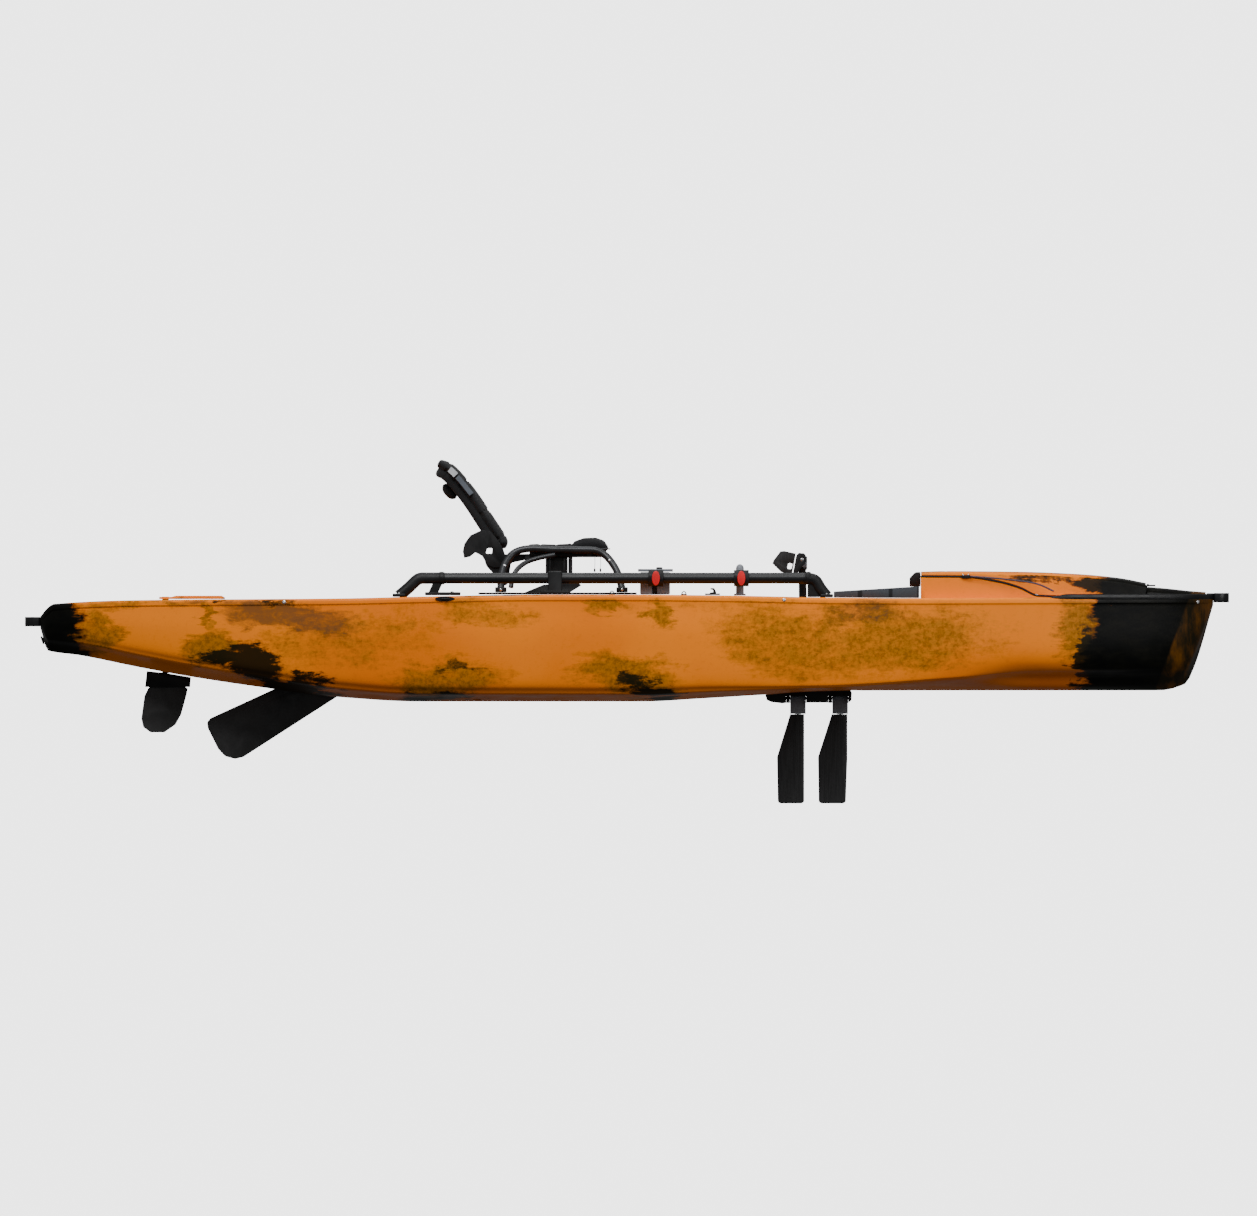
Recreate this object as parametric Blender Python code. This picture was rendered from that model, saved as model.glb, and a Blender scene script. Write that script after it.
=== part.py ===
"""Pedal fishing kayak: a hollow rotomoulded hull with a sit-on-top cockpit, a raised seat, side rails,
a rotating pedal drive with two flapping fins, a rudder, a skeg and hatches.

Run it with: blender --background --python part.py
Metres. +X is the bow, +Y port, +Z up. The origin is on the keel flat amidships, on the centreline.
"""

import math

import bmesh
import bpy
from mathutils import Vector

# ---------------------------------------------------------------- driving dimensions
LENGTH = 4.17  # over the two carry handles
BEAM = 0.965
WALL = 0.0055  # rotomoulded polyethylene
GAP = 0.0004  # between pieces that touch
CLEAR = 0.0012  # between pieces that move past each other

BOW_X = 2.030  # the stem, without its handle
STERN_X = -2.032
HANDLE_OUT = LENGTH / 2

KEEL = [  # (x, z) of the keel line, stern to bow
    (STERN_X, 0.256), (-2.005, 0.176), (-1.894, 0.160), (-1.686, 0.118), (-1.479, 0.081),
    (-1.271, 0.050), (-0.994, 0.015), (-0.72, 0.0), (0.06, 0.0), (0.253, 0.010), (0.46, 0.0225),
    (0.668, 0.034), (0.85, 0.0380), (1.846, 0.0385), (1.933, 0.061), (1.965, 0.121), (BOW_X, 0.334),
]
SHEER = [  # (x, z) of the gunwale
    (STERN_X, 0.294), (-2.005, 0.326), (-1.985, 0.338), (-1.70, 0.351), (-1.0, 0.357), (-0.70, 0.3636),
    (-0.30, 0.3702), (0.0, 0.3702), (0.35, 0.367), (0.70, 0.360), (1.0, 0.358), (1.5, 0.360), (BOW_X, 0.361),
]
HALF_BEAM = [
    (STERN_X, 0.075), (-2.005, 0.110), (-1.80, 0.192), (-1.40, 0.325), (-0.90, 0.440), (-0.35, 0.479),
    (0.10, BEAM / 2), (0.55, 0.468), (1.0, 0.410), (1.40, 0.320), (1.75, 0.215), (1.915, 0.148),
    (1.985, 0.100), (BOW_X, 0.034),
]
SECTION_X = (STERN_X, -1.5, -0.7, 0.2, 0.7, 1.15, 1.40, 1.65, 1.9, BOW_X)
SECTION = [  # the hull's section, keel flat to side: (share of the half beam, share of the depth) at each SECTION_X
    [(0.42, 0.0), (0.34, 0.0), (0.30, 0.0), (0.30, 0.0), (0.26, 0.0), (0.18, 0.0), (0.22, 0.0), (0.26, 0.0),
     (0.25, 0.0), (0.20, 0.0)],
    [(0.63, 0.165), (0.59, 0.088), (0.57, 0.041), (0.57, 0.036), (0.60, 0.014), (0.50, 0.055), (0.40, 0.045),
     (0.43, 0.05), (0.45, 0.07), (0.52, 0.165)],
    [(0.84, 0.255), (0.84, 0.136), (0.84, 0.064), (0.85, 0.058), (0.86, 0.034), (0.80, 0.105), (0.50, 0.140),
     (0.54, 0.14), (0.66, 0.15), (0.84, 0.255)],
    [(0.90, 0.320), (0.90, 0.190), (0.90, 0.105), (0.905, 0.095), (0.925, 0.055), (0.90, 0.135), (0.68, 0.185),
     (0.71, 0.19), (0.80, 0.22), (0.90, 0.320)],
    [(0.95, 0.430), (0.95, 0.295), (0.95, 0.210), (0.95, 0.190), (0.95, 0.110), (0.935, 0.180), (0.87, 0.240),
     (0.88, 0.25), (0.90, 0.32), (0.95, 0.430)],
    [(0.99, 0.62), (0.99, 0.62), (0.99, 0.62), (0.99, 0.60), (0.982, 0.40), (0.975, 0.42), (0.965, 0.42),
     (0.965, 0.45), (0.97, 0.55), (0.99, 0.62)],
]
STATIONS = [
    STERN_X, -2.018, -2.005, -1.985, -1.894, -1.79, -1.686, -1.58, -1.479, -1.375, -1.271, -1.13, -0.994, -0.86,
    -0.72, -0.53, -0.35, -0.15, 0.06, 0.253, 0.46, 0.668, 0.85, 1.02, 1.20, 1.38, 1.55, 1.70, 1.80, 1.865,
    1.933, 1.965, 1.985, 2.012, BOW_X,
]

FLOOR_Z = 0.115  # cockpit floor
COCKPIT = (-0.60, 0.93)
COCKPIT_HALF = 0.300
REAR_WELL = (-1.50, -0.68)
REAR_WELL_Z = 0.262
REAR_WELL_MARGIN = 0.105  # of side deck
BIN = (0.055, 0.315, 0.105, 0.030)  # centre bin: x from, x to, half width, floor z

HATCH = (1.018, 1.797)  # front hatch lid, along x
HATCH_TOP = [(1.018, 0.4455), (1.10, 0.4475), (1.35, 0.4455), (1.55, 0.4380), (1.70, 0.4245), (1.797, 0.4065)]
HATCH_SEAM = [(1.018, 0.4370), (1.17, 0.4360), (1.28, 0.420), (1.36, 0.398), (1.425, 0.3695), (1.50, 0.3670),
              (1.797, 0.3676)]
HATCH_MARGIN = 0.050  # from the gunwale
SEAL = 0.006
NOSE_DECK = [(1.803, 0.398), (1.87, 0.3925), (1.95, 0.384), (2.016, 0.379)]
HATCH_HOLE = (1.12, 1.735)

DRIVE_X = 0.650  # the axis on which the lower pod turns
POD_RECESS_R = 0.197
POD_RECESS_Z = 0.054
DRIVE_WELL = (0.500, 0.790)
DRIVE_WELL_HALF = 0.060
SPINE_HALF = 0.050
PIVOT_BOSS_R = 0.030
CRANK = Vector((0.612, 0.0, 0.185))
CRANK_Y = 0.078
PEDAL = Vector((0.606, 0.0, 0.492))
PEDAL_Y = 0.155
SWING_Z = 0.0115  # of the fore-and-aft shaft that both fins swing on
SHAFT_R = 0.005
MASTS = {"fwd": 0.738, "aft": 0.592}
KICK_Z = -0.0235
FIN_TOP, FIN_TIP = -0.0440, -0.3530
MAST_R = 0.0038

RAIL_Y = 0.418
RAIL_Z = 0.4272
RAIL_R = 0.0190
RAIL_END_R = 0.0203
BRACKET_TOP = 0.4519  # of the accessory block clamped on each rail
RAIL = (-0.630, 0.616)  # between its two end castings
CLAMPS = {"aft": 0.100, "fwd": 0.396}
CLAMP_R = 0.0285

SKEG_PIVOT = Vector((-0.985, 0.0, 0.100))
SKEG_OUTLINE = [
    (-1.2231, 0.0429), (-1.442, -0.0575), (-1.455, -0.072), (-1.451, -0.094), (-1.416, -0.164), (-1.392, -0.190),
    (-1.3570, -0.1990), (-1.3290, -0.1925), (-1.0040, 0.0165), (-0.954, 0.053), (-0.934, 0.085), (-0.937, 0.120),
    (-0.960, 0.143), (-0.995, 0.148), (-1.030, 0.132),
]
SKEG_THICK = 0.012
SLOT_HALF = 0.009
SLOT_TOP = [(-1.015, 0.186), (-1.535, 0.250)]

RUDDER_X = -1.598
RUDDER_KICK = Vector((-1.600, 0.0, 0.066))
RUDDER_OUTLINE = [
    (-1.621, 0.082), (-1.658, 0.046), (-1.671, 0.020), (-1.6820, -0.0592), (-1.6750, -0.0890), (-1.6500, -0.1070),
    (-1.602, -0.1070), (-1.5635, -0.0800), (-1.5440, -0.0450), (-1.5250, 0.0235), (-1.521, 0.045),
    (-1.579, 0.082), (-1.589, 0.0915), (-1.600, 0.094), (-1.611, 0.0915),
]
RUDDER_THICK = 0.014
STOCK_R = 0.012

SEAT_TOP_Y, SEAT_FOOT_Y = 0.250, 0.322  # the side hoops splay outwards to their feet
SEAT_R = 0.0125
HOOP = [  # (x, z) of a side hoop's centreline, aft foot to forward foot
    (-0.437, 0.390), (-0.434, 0.438), (-0.421, 0.479), (-0.391, 0.515), (-0.339, 0.5295), (-0.250, 0.5265),
    (-0.160, 0.5255), (-0.106, 0.5225), (-0.0715, 0.503), (-0.045, 0.4695), (-0.029, 0.436), (-0.017, 0.390),
]
BACK_PIVOT = Vector((-0.441, 0.0, 0.488))
BACK_FRONT = [  # (x, z) of the back rest's front face, bottom to top
    (-0.409, 0.528), (-0.4173, 0.565), (-0.463, 0.6365), (-0.524, 0.7285), (-0.5940, 0.8110), (-0.6480, 0.8435),
]
BACK_PAD_THICK = 0.037

RAIL_RUNS = {"aft": (0.096, 0.160), "fwd": (0.032, 0.076)}  # each end casting's bend and foot, from the rail's end
RAIL_FOOT = 0.018  # half the length of a casting's foot
HATCH_HINGE = Vector((1.8040, 0.0, 0.4035))
HATCH_LATCH = Vector((1.010, 0.0, 0.404))
BIN_HINGE = Vector((0.3275, 0.0, 0.129))
DRAIN = Vector((-2.0190, 0.0, 0.2140))
DRAIN_OUT = Vector((-0.947, 0.0, -0.320))
CORD_ROUTE = [(1.1895, -0.3350, 0.4335), (1.300, -0.3240, 0.4245), (1.413, -0.3110, 0.4090), (1.478, -0.3005, 0.3820)]
FIN_EDGES = {  # x of the leading edge at the top and tip, then of the trailing edge at the top, middle and tip
    "aft": (0.6135, 0.6135, 0.5650, 0.5195, 0.5225),
    "fwd": (0.7630, 0.7575, 0.7090, 0.6615, 0.6640),
}

# ---------------------------------------------------------------- materials
MATERIALS = {  # colour, roughness, metallic
    "hull_plastic": ((0.76, 0.33, 0.035), 0.45, 0.0),
    "black_plastic": ((0.022, 0.023, 0.025), 0.50, 0.0),
    "grey_plastic": ((0.24, 0.25, 0.27), 0.50, 0.0),
    "red_plastic": ((0.72, 0.03, 0.035), 0.35, 0.0),
    "black_rubber": ((0.018, 0.018, 0.019), 0.75, 0.0),
    "rail_aluminium": ((0.045, 0.055, 0.065), 0.38, 0.8),
    "seat_aluminium": ((0.14, 0.15, 0.16), 0.40, 0.8),
    "stainless": ((0.62, 0.62, 0.63), 0.25, 1.0),
    "seat_fabric": ((0.030, 0.030, 0.033), 0.90, 0.0),
    "deck_foam": ((0.075, 0.080, 0.088), 0.95, 0.0),
}


def material(name):
    found = bpy.data.materials.get(name)
    if found:
        return found
    colour, roughness, metallic = MATERIALS[name]
    made = bpy.data.materials.new(name)
    made.use_nodes = True
    shader = made.node_tree.nodes["Principled BSDF"]
    shader.inputs["Base Color"].default_value = (*colour, 1.0)
    shader.inputs["Roughness"].default_value = roughness
    shader.inputs["Metallic"].default_value = metallic
    made.diffuse_color = (*colour, 1.0)
    return made


# ---------------------------------------------------------------- curves and shapes
def smooth(points):
    """A function through (x, value) points that bends smoothly and never overshoots them."""
    xs, ys = zip(*points)
    slopes = [(b - a) / (q - p) for a, b, p, q in zip(ys, ys[1:], xs, xs[1:])]
    tangents = [slopes[0]]
    for left, right in zip(slopes, slopes[1:]):
        tangents.append(0.0 if left * right <= 0 else 2 * left * right / (left + right))
    tangents.append(slopes[-1])

    def value(x):
        x = min(max(x, xs[0]), xs[-1])
        i = max(k for k in range(len(xs) - 1) if xs[k] <= x or k == 0)
        step = xs[i + 1] - xs[i]
        t = (x - xs[i]) / step
        keep, turn = (1 + 2 * t) * (1 - t) ** 2, t * (1 - t) ** 2 * step
        arrive, leave = t * t * (3 - 2 * t), t * t * (t - 1) * step
        return keep * ys[i] + turn * tangents[i] + arrive * ys[i + 1] + leave * tangents[i + 1]

    return value


def on_stations(value):
    """The same value as the lofted facets have, straight between stations."""

    def read(x):
        i = max(k for k in range(len(STATIONS) - 1) if STATIONS[k] <= x or k == 0)
        a, b = STATIONS[i], STATIONS[i + 1]
        t = min(max((x - a) / (b - a), 0.0), 1.0)
        return value(a) * (1 - t) + value(b) * t

    return read


keel, sheer, half_beam = smooth(KEEL), smooth(SHEER), smooth(HALF_BEAM)
section = [tuple(smooth(list(zip(SECTION_X, values))) for values in zip(*row)) for row in SECTION]
hatch_top, hatch_seam, nose_deck = smooth(HATCH_TOP), smooth(HATCH_SEAM), smooth(NOSE_DECK)
deck = on_stations(sheer)
gunwale = on_stations(half_beam)


def place(name, mesh, finish, smooth_degrees=None):
    made = bpy.data.objects.new(name, mesh)
    made.data.materials.append(material(finish))
    bpy.context.scene.collection.objects.link(made)
    if smooth_degrees:
        mesh.shade_smooth()
        mesh.set_sharp_from_angle(angle=math.radians(smooth_degrees))
    return made


def from_bmesh(name, shape, finish, smooth_degrees=None):
    bmesh.ops.remove_doubles(shape, verts=shape.verts, dist=1e-6)
    bmesh.ops.recalc_face_normals(shape, faces=shape.faces)
    mesh = bpy.data.meshes.new(name)
    shape.to_mesh(mesh)
    shape.free()
    return place(name, mesh, finish, smooth_degrees)


def loft(name, rings, finish, smooth_degrees=40, closed=False):
    """A skin over rings that all have the same number of points, capped at both ends or closed on itself."""
    shape = bmesh.new()
    loops = [[shape.verts.new(p) for p in ring] for ring in rings]
    pairs = list(zip(loops, loops[1:]))
    if closed:
        pairs.append((loops[-1], loops[0]))
    for a, b in pairs:
        for i in range(len(a)):
            j = (i + 1) % len(a)
            shape.faces.new((a[i], a[j], b[j], b[i]))
    if not closed:
        shape.faces.new(loops[0])
        shape.faces.new(loops[-1])
    return from_bmesh(name, shape, finish, smooth_degrees)


def box(name, low, high, finish, bevel=0.0):
    shape = bmesh.new()
    bmesh.ops.create_cube(shape, size=1.0)
    low, high = Vector(low), Vector(high)
    for v in shape.verts:
        v.co = Vector((low[k] + (v.co[k] + 0.5) * (high[k] - low[k]) for k in range(3)))
    if bevel:
        bmesh.ops.bevel(shape, geom=shape.edges[:], offset=bevel, segments=1, affect="EDGES", profile=0.5)
    return from_bmesh(name, shape, finish)


def circle_points(centre, axis, radius, sides, turn=0.0):
    axis = Vector(axis).normalized()
    across = axis.orthogonal().normalized()
    if abs(axis.z) < 0.99:  # keep a corner pattern that is level, whatever the direction
        across = Vector((0, 0, 1)).cross(axis).normalized()
    up = axis.cross(across)
    steps = [turn + 2 * math.pi * k / sides for k in range(sides)]
    return [Vector(centre) + radius * (math.cos(a) * across + math.sin(a) * up) for a in steps]


def rod(name, start, end, radius, finish, sides=16, end_radius=None):
    axis = Vector(end) - Vector(start)
    turn = math.pi / sides
    rings = [
        circle_points(start, axis, radius, sides, turn),
        circle_points(end, axis, radius if end_radius is None else end_radius, sides, turn),
    ]
    return loft(name, rings, finish)


def ring(name, centre, axis, inner, outer, width, finish, sides=20):
    """A flat-sided ring about an axis through centre."""
    axis = Vector(axis).normalized()
    back, front = Vector(centre) - axis * width / 2, Vector(centre) + axis * width / 2
    turn = math.pi / sides
    loops = [circle_points(c, axis, r, sides, turn) for c, r in
             ((back, inner), (back, outer), (front, outer), (front, inner))]
    sections = [[loop[k] for loop in loops] for k in range(sides)]
    return loft(name, sections, finish, closed=True)


def rounded(outline, radius, steps=3):
    """The outline's corners replaced with short curves."""
    made = []
    for before, here, after in zip(outline[-1:] + outline[:-1], outline, outline[1:] + outline[:1]):
        here, back, ahead = Vector(here), Vector(before) - Vector(here), Vector(after) - Vector(here)
        cut = min(radius, 0.45 * back.length, 0.45 * ahead.length)
        a, b = here + back.normalized() * cut, here + ahead.normalized() * cut
        for k in range(steps + 1):
            t = k / steps
            made.append(tuple((1 - t) ** 2 * a + 2 * t * (1 - t) * here + t * t * b))
    return made


def prism(name, outline, axis, low, high, finish, smooth_degrees=35):
    """An outline of (first, second) coordinates, extruded along the remaining axis from low to high."""
    order = {"x": (1, 2, 0), "y": (0, 2, 1), "z": (0, 1, 2)}[axis]
    rings = []
    for level in (low, high):
        loop = []
        for first, second in outline:
            point = [0.0, 0.0, 0.0]
            point[order[0]], point[order[1]], point[order[2]] = first, second, level
            loop.append(Vector(point))
        rings.append(loop)
    return loft(name, rings, finish, smooth_degrees)


def bend_through(points, count):
    """A smooth route through a few points, as count evenly numbered points."""
    points = [Vector(p) for p in points]
    ends = [points[0] * 2 - points[1]] + points + [points[-1] * 2 - points[-2]]
    route = []
    for k in range(count):
        t = k / (count - 1) * (len(points) - 1)
        i = min(int(t), len(points) - 2)
        t -= i
        a, b, c, d = ends[i:i + 4]
        route.append(0.5 * ((2 * b) + (c - a) * t + (2 * a - 5 * b + 4 * c - d) * t * t
                            + (3 * b - a - 3 * c + d) * t ** 3))
    return route


def pipe(name, points, radius, finish, resolution=2):
    curve = bpy.data.curves.new(name, "CURVE")
    curve.dimensions = "3D"
    curve.bevel_depth = radius
    curve.bevel_resolution = resolution
    curve.use_fill_caps = True
    line = curve.splines.new("POLY")
    line.points.add(len(points) - 1)
    for spot, point in zip(line.points, points):
        spot.co = (*point, 1.0)
    made = bpy.data.objects.new(name, curve)
    curve.materials.append(material(finish))
    bpy.context.scene.collection.objects.link(made)
    return made


def hide(helper):
    helper.hide_render = True
    helper.display_type = "WIRE"


def combine(target, helper, operation):
    step = target.modifiers.new(helper.name, "BOOLEAN")
    step.operation = operation
    step.solver = "EXACT"
    step.object = helper
    hide(helper)


def cut(target, *helpers):
    for helper in helpers:
        combine(target, helper, "DIFFERENCE")


def join(target, *helpers):
    for helper in helpers:
        combine(target, helper, "UNION")


# ---------------------------------------------------------------- hull
def hull_ring(x, inset):
    """The hull's section at x, from the keel flat up the starboard side and round, pulled in by inset."""
    b = half_beam(x) - inset
    low, high = keel(x) + inset, sheer(x) - inset
    depth = high - low
    half = [(across(x) * b, low + up(x) * depth) for across, up in section]
    half += [(b, low + 0.92 * depth), (b - 0.004, low + 0.985 * depth), (b - 0.014, high)]
    x = min(max(x, STERN_X + inset), BOW_X - inset)
    starboard = [Vector((x, -y, z)) for y, z in half]
    port = [Vector((x, y, z)) for y, z in reversed(half)]
    return starboard + port


def foredeck_ring(x, inset):
    """The raised foredeck: a coaming under the lid, then a low nose deck ahead of it."""
    half = gunwale(x) - HATCH_MARGIN - inset
    if x > HATCH[1] + 0.003:
        top = nose_deck(x) - inset
        half = min(half, gunwale(x) * 0.62 - inset)
    else:
        top = hatch_seam(x) - SEAL - GAP - inset
    low = deck(x) - 0.03
    return [Vector((x, y, z)) for y, z in
            ((-half, low), (-half, top - 0.004), (-half + 0.006, top), (half - 0.006, top), (half, top - 0.004),
             (half, low))]


def foredeck_stations(inset):
    first, last = HATCH[0] + inset, 2.004 - inset
    middle = [1.17, 1.225, 1.28, 1.32, 1.36, 1.395, 1.425, 1.50, 1.60, 1.70, HATCH[1] + 0.002, HATCH[1] + 0.008,
              1.87, 1.94]
    return [first] + middle + [last]


def margin_outline(span, margin, grow, count=9):
    """A deck recess outline that keeps a margin inside the gunwale."""
    first, last = span[0] - grow, span[1] + grow
    xs = [first + (last - first) * k / (count - 1) for k in range(count)]
    side = [(x, -(gunwale(x) - margin + grow)) for x in xs]
    return side + [(x, -y) for x, y in reversed(side)]


def recess_cutters(grow):
    """Everything moulded into the hull from outside. grow widens each one, to leave a wall round it."""
    tag = "grown_" if grow else "cut_"
    above = 0.6
    cockpit = rounded([(COCKPIT[0] - grow, -COCKPIT_HALF - grow), (0.55, -COCKPIT_HALF - grow),
                       (COCKPIT[1] + grow, -0.22 - grow), (COCKPIT[1] + grow, 0.22 + grow),
                       (0.55, COCKPIT_HALF + grow), (COCKPIT[0] - grow, COCKPIT_HALF + grow)], 0.06)
    x0, x1, half, low = BIN
    (near, near_top), (far, far_top) = SLOT_TOP
    slot = [(SKEG_PIVOT.x + 0.085 + grow, -0.05), (SKEG_PIVOT.x + 0.085 + grow, near_top - 0.008 + grow),
            (near, near_top + grow), (far - grow, far_top + grow), (far - grow, -0.05)]
    parts = [
        prism(tag + "cockpit", cockpit, "z", FLOOR_Z - grow, above, "hull_plastic"),
        prism(tag + "rear_well", rounded(margin_outline(REAR_WELL, REAR_WELL_MARGIN, grow), 0.05, 2), "z",
              REAR_WELL_Z - grow, above, "hull_plastic"),
        box(tag + "bin", (x0 - grow, -half - grow, low - grow), (x1 + grow, half + grow, 0.2), "hull_plastic"),
        box(tag + "drive_well", (DRIVE_WELL[0] - grow, -DRIVE_WELL_HALF - grow, -0.1),
            (DRIVE_WELL[1] + grow, DRIVE_WELL_HALF + grow, 0.2), "hull_plastic"),
        rod(tag + "pod_recess", (DRIVE_X, 0, -0.1), (DRIVE_X, 0, POD_RECESS_Z + grow), POD_RECESS_R + grow,
            "hull_plastic", sides=32),
        prism(tag + "skeg_slot", slot, "y", -SLOT_HALF - grow, SLOT_HALF + grow, "hull_plastic"),
        rod(tag + "rudder_trunk", (RUDDER_X, 0, -0.1), (RUDDER_X, 0, 0.6), 0.0175 + grow, "hull_plastic"),
    ]
    for k, (x, y) in enumerate(((-0.52, 0.20), (-0.52, -0.20), (0.42, 0.20), (0.42, -0.20))):
        parts.append(rod(f"{tag}scupper_{k}", (x, y, -0.1), (x, y, 0.2), 0.016 + grow, "hull_plastic", sides=12))
    return parts


def build_hull():
    hull = loft("hull", [hull_ring(x, 0.0) for x in STATIONS], "hull_plastic")
    join(hull, loft("foredeck", [foredeck_ring(x, 0.0) for x in foredeck_stations(0.0)], "hull_plastic"))
    cut(hull, *recess_cutters(0.0))
    cavity = loft("cavity", [hull_ring(x, WALL) for x in STATIONS[1:-1]], "hull_plastic")
    join(cavity, loft("foredeck_cavity", [foredeck_ring(x, WALL) for x in foredeck_stations(0.02)], "hull_plastic"))
    cut(cavity, *recess_cutters(WALL))
    cut(hull, cavity)
    cut(hull, prism("hatch_hole", rounded(margin_outline(HATCH_HOLE, 0.105, 0.0, 5), 0.05, 3), "z", 0.30, 0.6,
                    "hull_plastic"))
    cut(hull, rod("drain_hole", DRAIN + 0.04 * DRAIN_OUT, DRAIN - 0.04 * DRAIN_OUT, 0.0095, "hull_plastic", 16))
    return hull


def sides():
    return (("stbd", -1.0), ("port", 1.0))


def tube_rings(points, radius, count):
    """Circles along a route, without twist."""
    points = [Vector(p) for p in points]
    heading = (points[1] - points[0]).normalized()
    across = heading.orthogonal().normalized()
    rings = []
    for k, point in enumerate(points):
        ahead = points[min(k + 1, len(points) - 1)] - points[max(k - 1, 0)]
        across = (across - across.dot(ahead.normalized()) * ahead.normalized()).normalized()
        up = ahead.normalized().cross(across)
        steps = [2 * math.pi * (j + 0.5) / count for j in range(count)]
        rings.append([point + radius * (math.cos(a) * across + math.sin(a) * up) for a in steps])
    return rings


def tube(name, points, radius, finish, count=12):
    return loft(name, tube_rings(points, radius, count), finish)


def turned(name, centre, axis, profile, finish, count=24):
    """A solid of revolution: profile holds (distance along the axis, radius)."""
    axis = Vector(axis).normalized()
    rings = [circle_points(Vector(centre) + axis * along, axis, radius, count, math.pi / count)
             for along, radius in profile]
    return loft(name, rings, finish)


def set_origin(target, point):
    """Puts the object's origin on its joint without moving its shape."""
    point = Vector(point)
    shift = point - target.location
    if target.type == "MESH":
        for v in target.data.vertices:
            v.co -= shift
    target.location = point


def hinge_empty(name, point, *riders):
    """An empty on a joint's axis, with the pieces that move on it parented to it."""
    pivot = bpy.data.objects.new(name, None)
    pivot.empty_display_size = 0.03
    pivot.location = point
    bpy.context.scene.collection.objects.link(pivot)
    for rider in riders:
        rider.parent = pivot
        rider.matrix_parent_inverse.translation = -Vector(point)
    return pivot


# ---------------------------------------------------------------- hull fittings
def build_end_handles():
    bow = prism("bow_handle", rounded([(BOW_X + GAP, -0.034), (2.066, -0.032), (HANDLE_OUT, -0.014),
                                       (HANDLE_OUT, 0.014), (2.066, 0.032), (BOW_X + GAP, 0.034)], 0.012),
                "z", 0.343, 0.376, "black_plastic")
    cut(bow, prism("bow_grip", rounded([(2.042, -0.018), (2.070, -0.018), (2.070, 0.018), (2.042, 0.018)], 0.006),
                   "z", 0.30, 0.42, "black_plastic"))
    stern = prism("stern_handle", rounded([(STERN_X - GAP, 0.052), (-2.066, 0.050), (-HANDLE_OUT, 0.030),
                                           (-HANDLE_OUT, -0.030), (-2.066, -0.050), (STERN_X - GAP, -0.052)],
                                          0.012), "z", 0.2600, 0.2930, "black_plastic")
    cut(stern, prism("stern_grip", rounded([(-2.045, 0.034), (-2.072, 0.034), (-2.072, -0.034), (-2.045, -0.034)],
                                           0.006), "z", 0.22, 0.33, "black_plastic"))


def build_drain_plug():
    outward = DRAIN_OUT
    plug = turned("drain_plug", DRAIN, outward, [(-0.016, 0.0088), (0.0022, 0.0088), (0.0023, 0.015),
                                                (0.0075, 0.0145), (0.009, 0.012)], "black_plastic", 16)
    set_origin(plug, DRAIN)


def build_rails():
    for side, sign in sides():
        y = sign * RAIL_Y
        tube(f"rail_{side}", [(RAIL[0], y, RAIL_Z), (-0.2, y, RAIL_Z), (0.2, y, RAIL_Z), (RAIL[1], y, RAIL_Z)],
             RAIL_R, "rail_aluminium", 12)
        for end, x, way in (("aft", RAIL[0], -1.0), ("fwd", RAIL[1], 1.0)):
            bend, reach = RAIL_RUNS[end]
            route = [(x + way * GAP, y, RAIL_Z), (x + way * (bend - 0.018), y, RAIL_Z),
                     (x + way * (bend - 0.004), y, RAIL_Z - 0.003), (x + way * (bend + 0.008), y, RAIL_Z - 0.012),
                     (x + way * reach, y, deck(x + way * reach) + 0.008)]
            casting = tube(f"rail_end_{side}_{end}", route, RAIL_END_R, "black_plastic", 12)
            foot = route[-1][0]
            low = max(deck(foot - RAIL_FOOT), deck(foot + RAIL_FOOT)) + GAP
            join(casting, box(f"rail_foot_{side}_{end}", (foot - RAIL_FOOT, y - 0.026, low),
                              (foot + RAIL_FOOT, y + 0.026, low + 0.012), "black_plastic", 0.002))
            trim = box(f"rail_trim_{side}_{end}", (foot - 0.2, y - 0.1, low - 0.1), (foot + 0.2, y + 0.1, low),
                       "black_plastic")
            cut(casting, trim)
            if end == "aft":
                low = deck(-0.53) + GAP
                join(casting, box(f"rail_stay_{side}", (-0.700, y - 0.024, low), (-0.576, y + 0.024, 0.379),
                                  "black_plastic", 0.002))
                strut = [(-0.686, 0.374), (-0.660, 0.374), (-0.638, 0.4180), (-0.664, 0.4180)]
                join(casting, prism(f"rail_strut_{side}", strut, "y", y - 0.010, y + 0.010, "black_plastic"))
            else:
                floor = deck(0.627) + GAP
                gusset = [(0.627, floor), (0.684, floor), (0.668, 0.400), (0.645, 0.4150), (0.625, 0.4150)]
                join(casting, prism(f"rail_gusset_{side}", gusset, "y", y - 0.008, y + 0.008, "black_plastic"))


def build_rail_brackets():
    """A clamp post amidships, under each rail."""
    for side, sign in sides():
        y = sign * RAIL_Y
        low = deck(-0.30) + GAP
        post = box(f"rail_bracket_{side}", (-0.274, y - 0.026, low), (-0.225, y + 0.026, BRACKET_TOP),
                   "black_plastic", 0.003)
        join(post, box(f"rail_bracket_base_{side}", (-0.300, y - 0.030, low), (-0.200, y + 0.030, low + 0.014),
                       "black_plastic", 0.002))
        cut(post, rod(f"rail_bracket_bore_{side}", (-0.35, y, RAIL_Z), (-0.15, y, RAIL_Z), RAIL_R + 0.0012,
                      "black_plastic", 24))


def build_clamps():
    for name, x in CLAMPS.items():
        ring(f"clamp_{name}", (x, -RAIL_Y, RAIL_Z), (1, 0, 0), RAIL_R + GAP, CLAMP_R, 0.052, "black_plastic", 24)
        face = -RAIL_Y - CLAMP_R
        oval = [(x + 0.0135 * math.cos(a), RAIL_Z + 0.0255 * math.sin(a))
                for a in (2 * math.pi * k / 20 for k in range(20))]
        cam = prism(f"cam_{name}", oval, "y", face - 0.0095, face - CLEAR, "red_plastic")
        set_origin(cam, (x, face, RAIL_Z))


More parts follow.
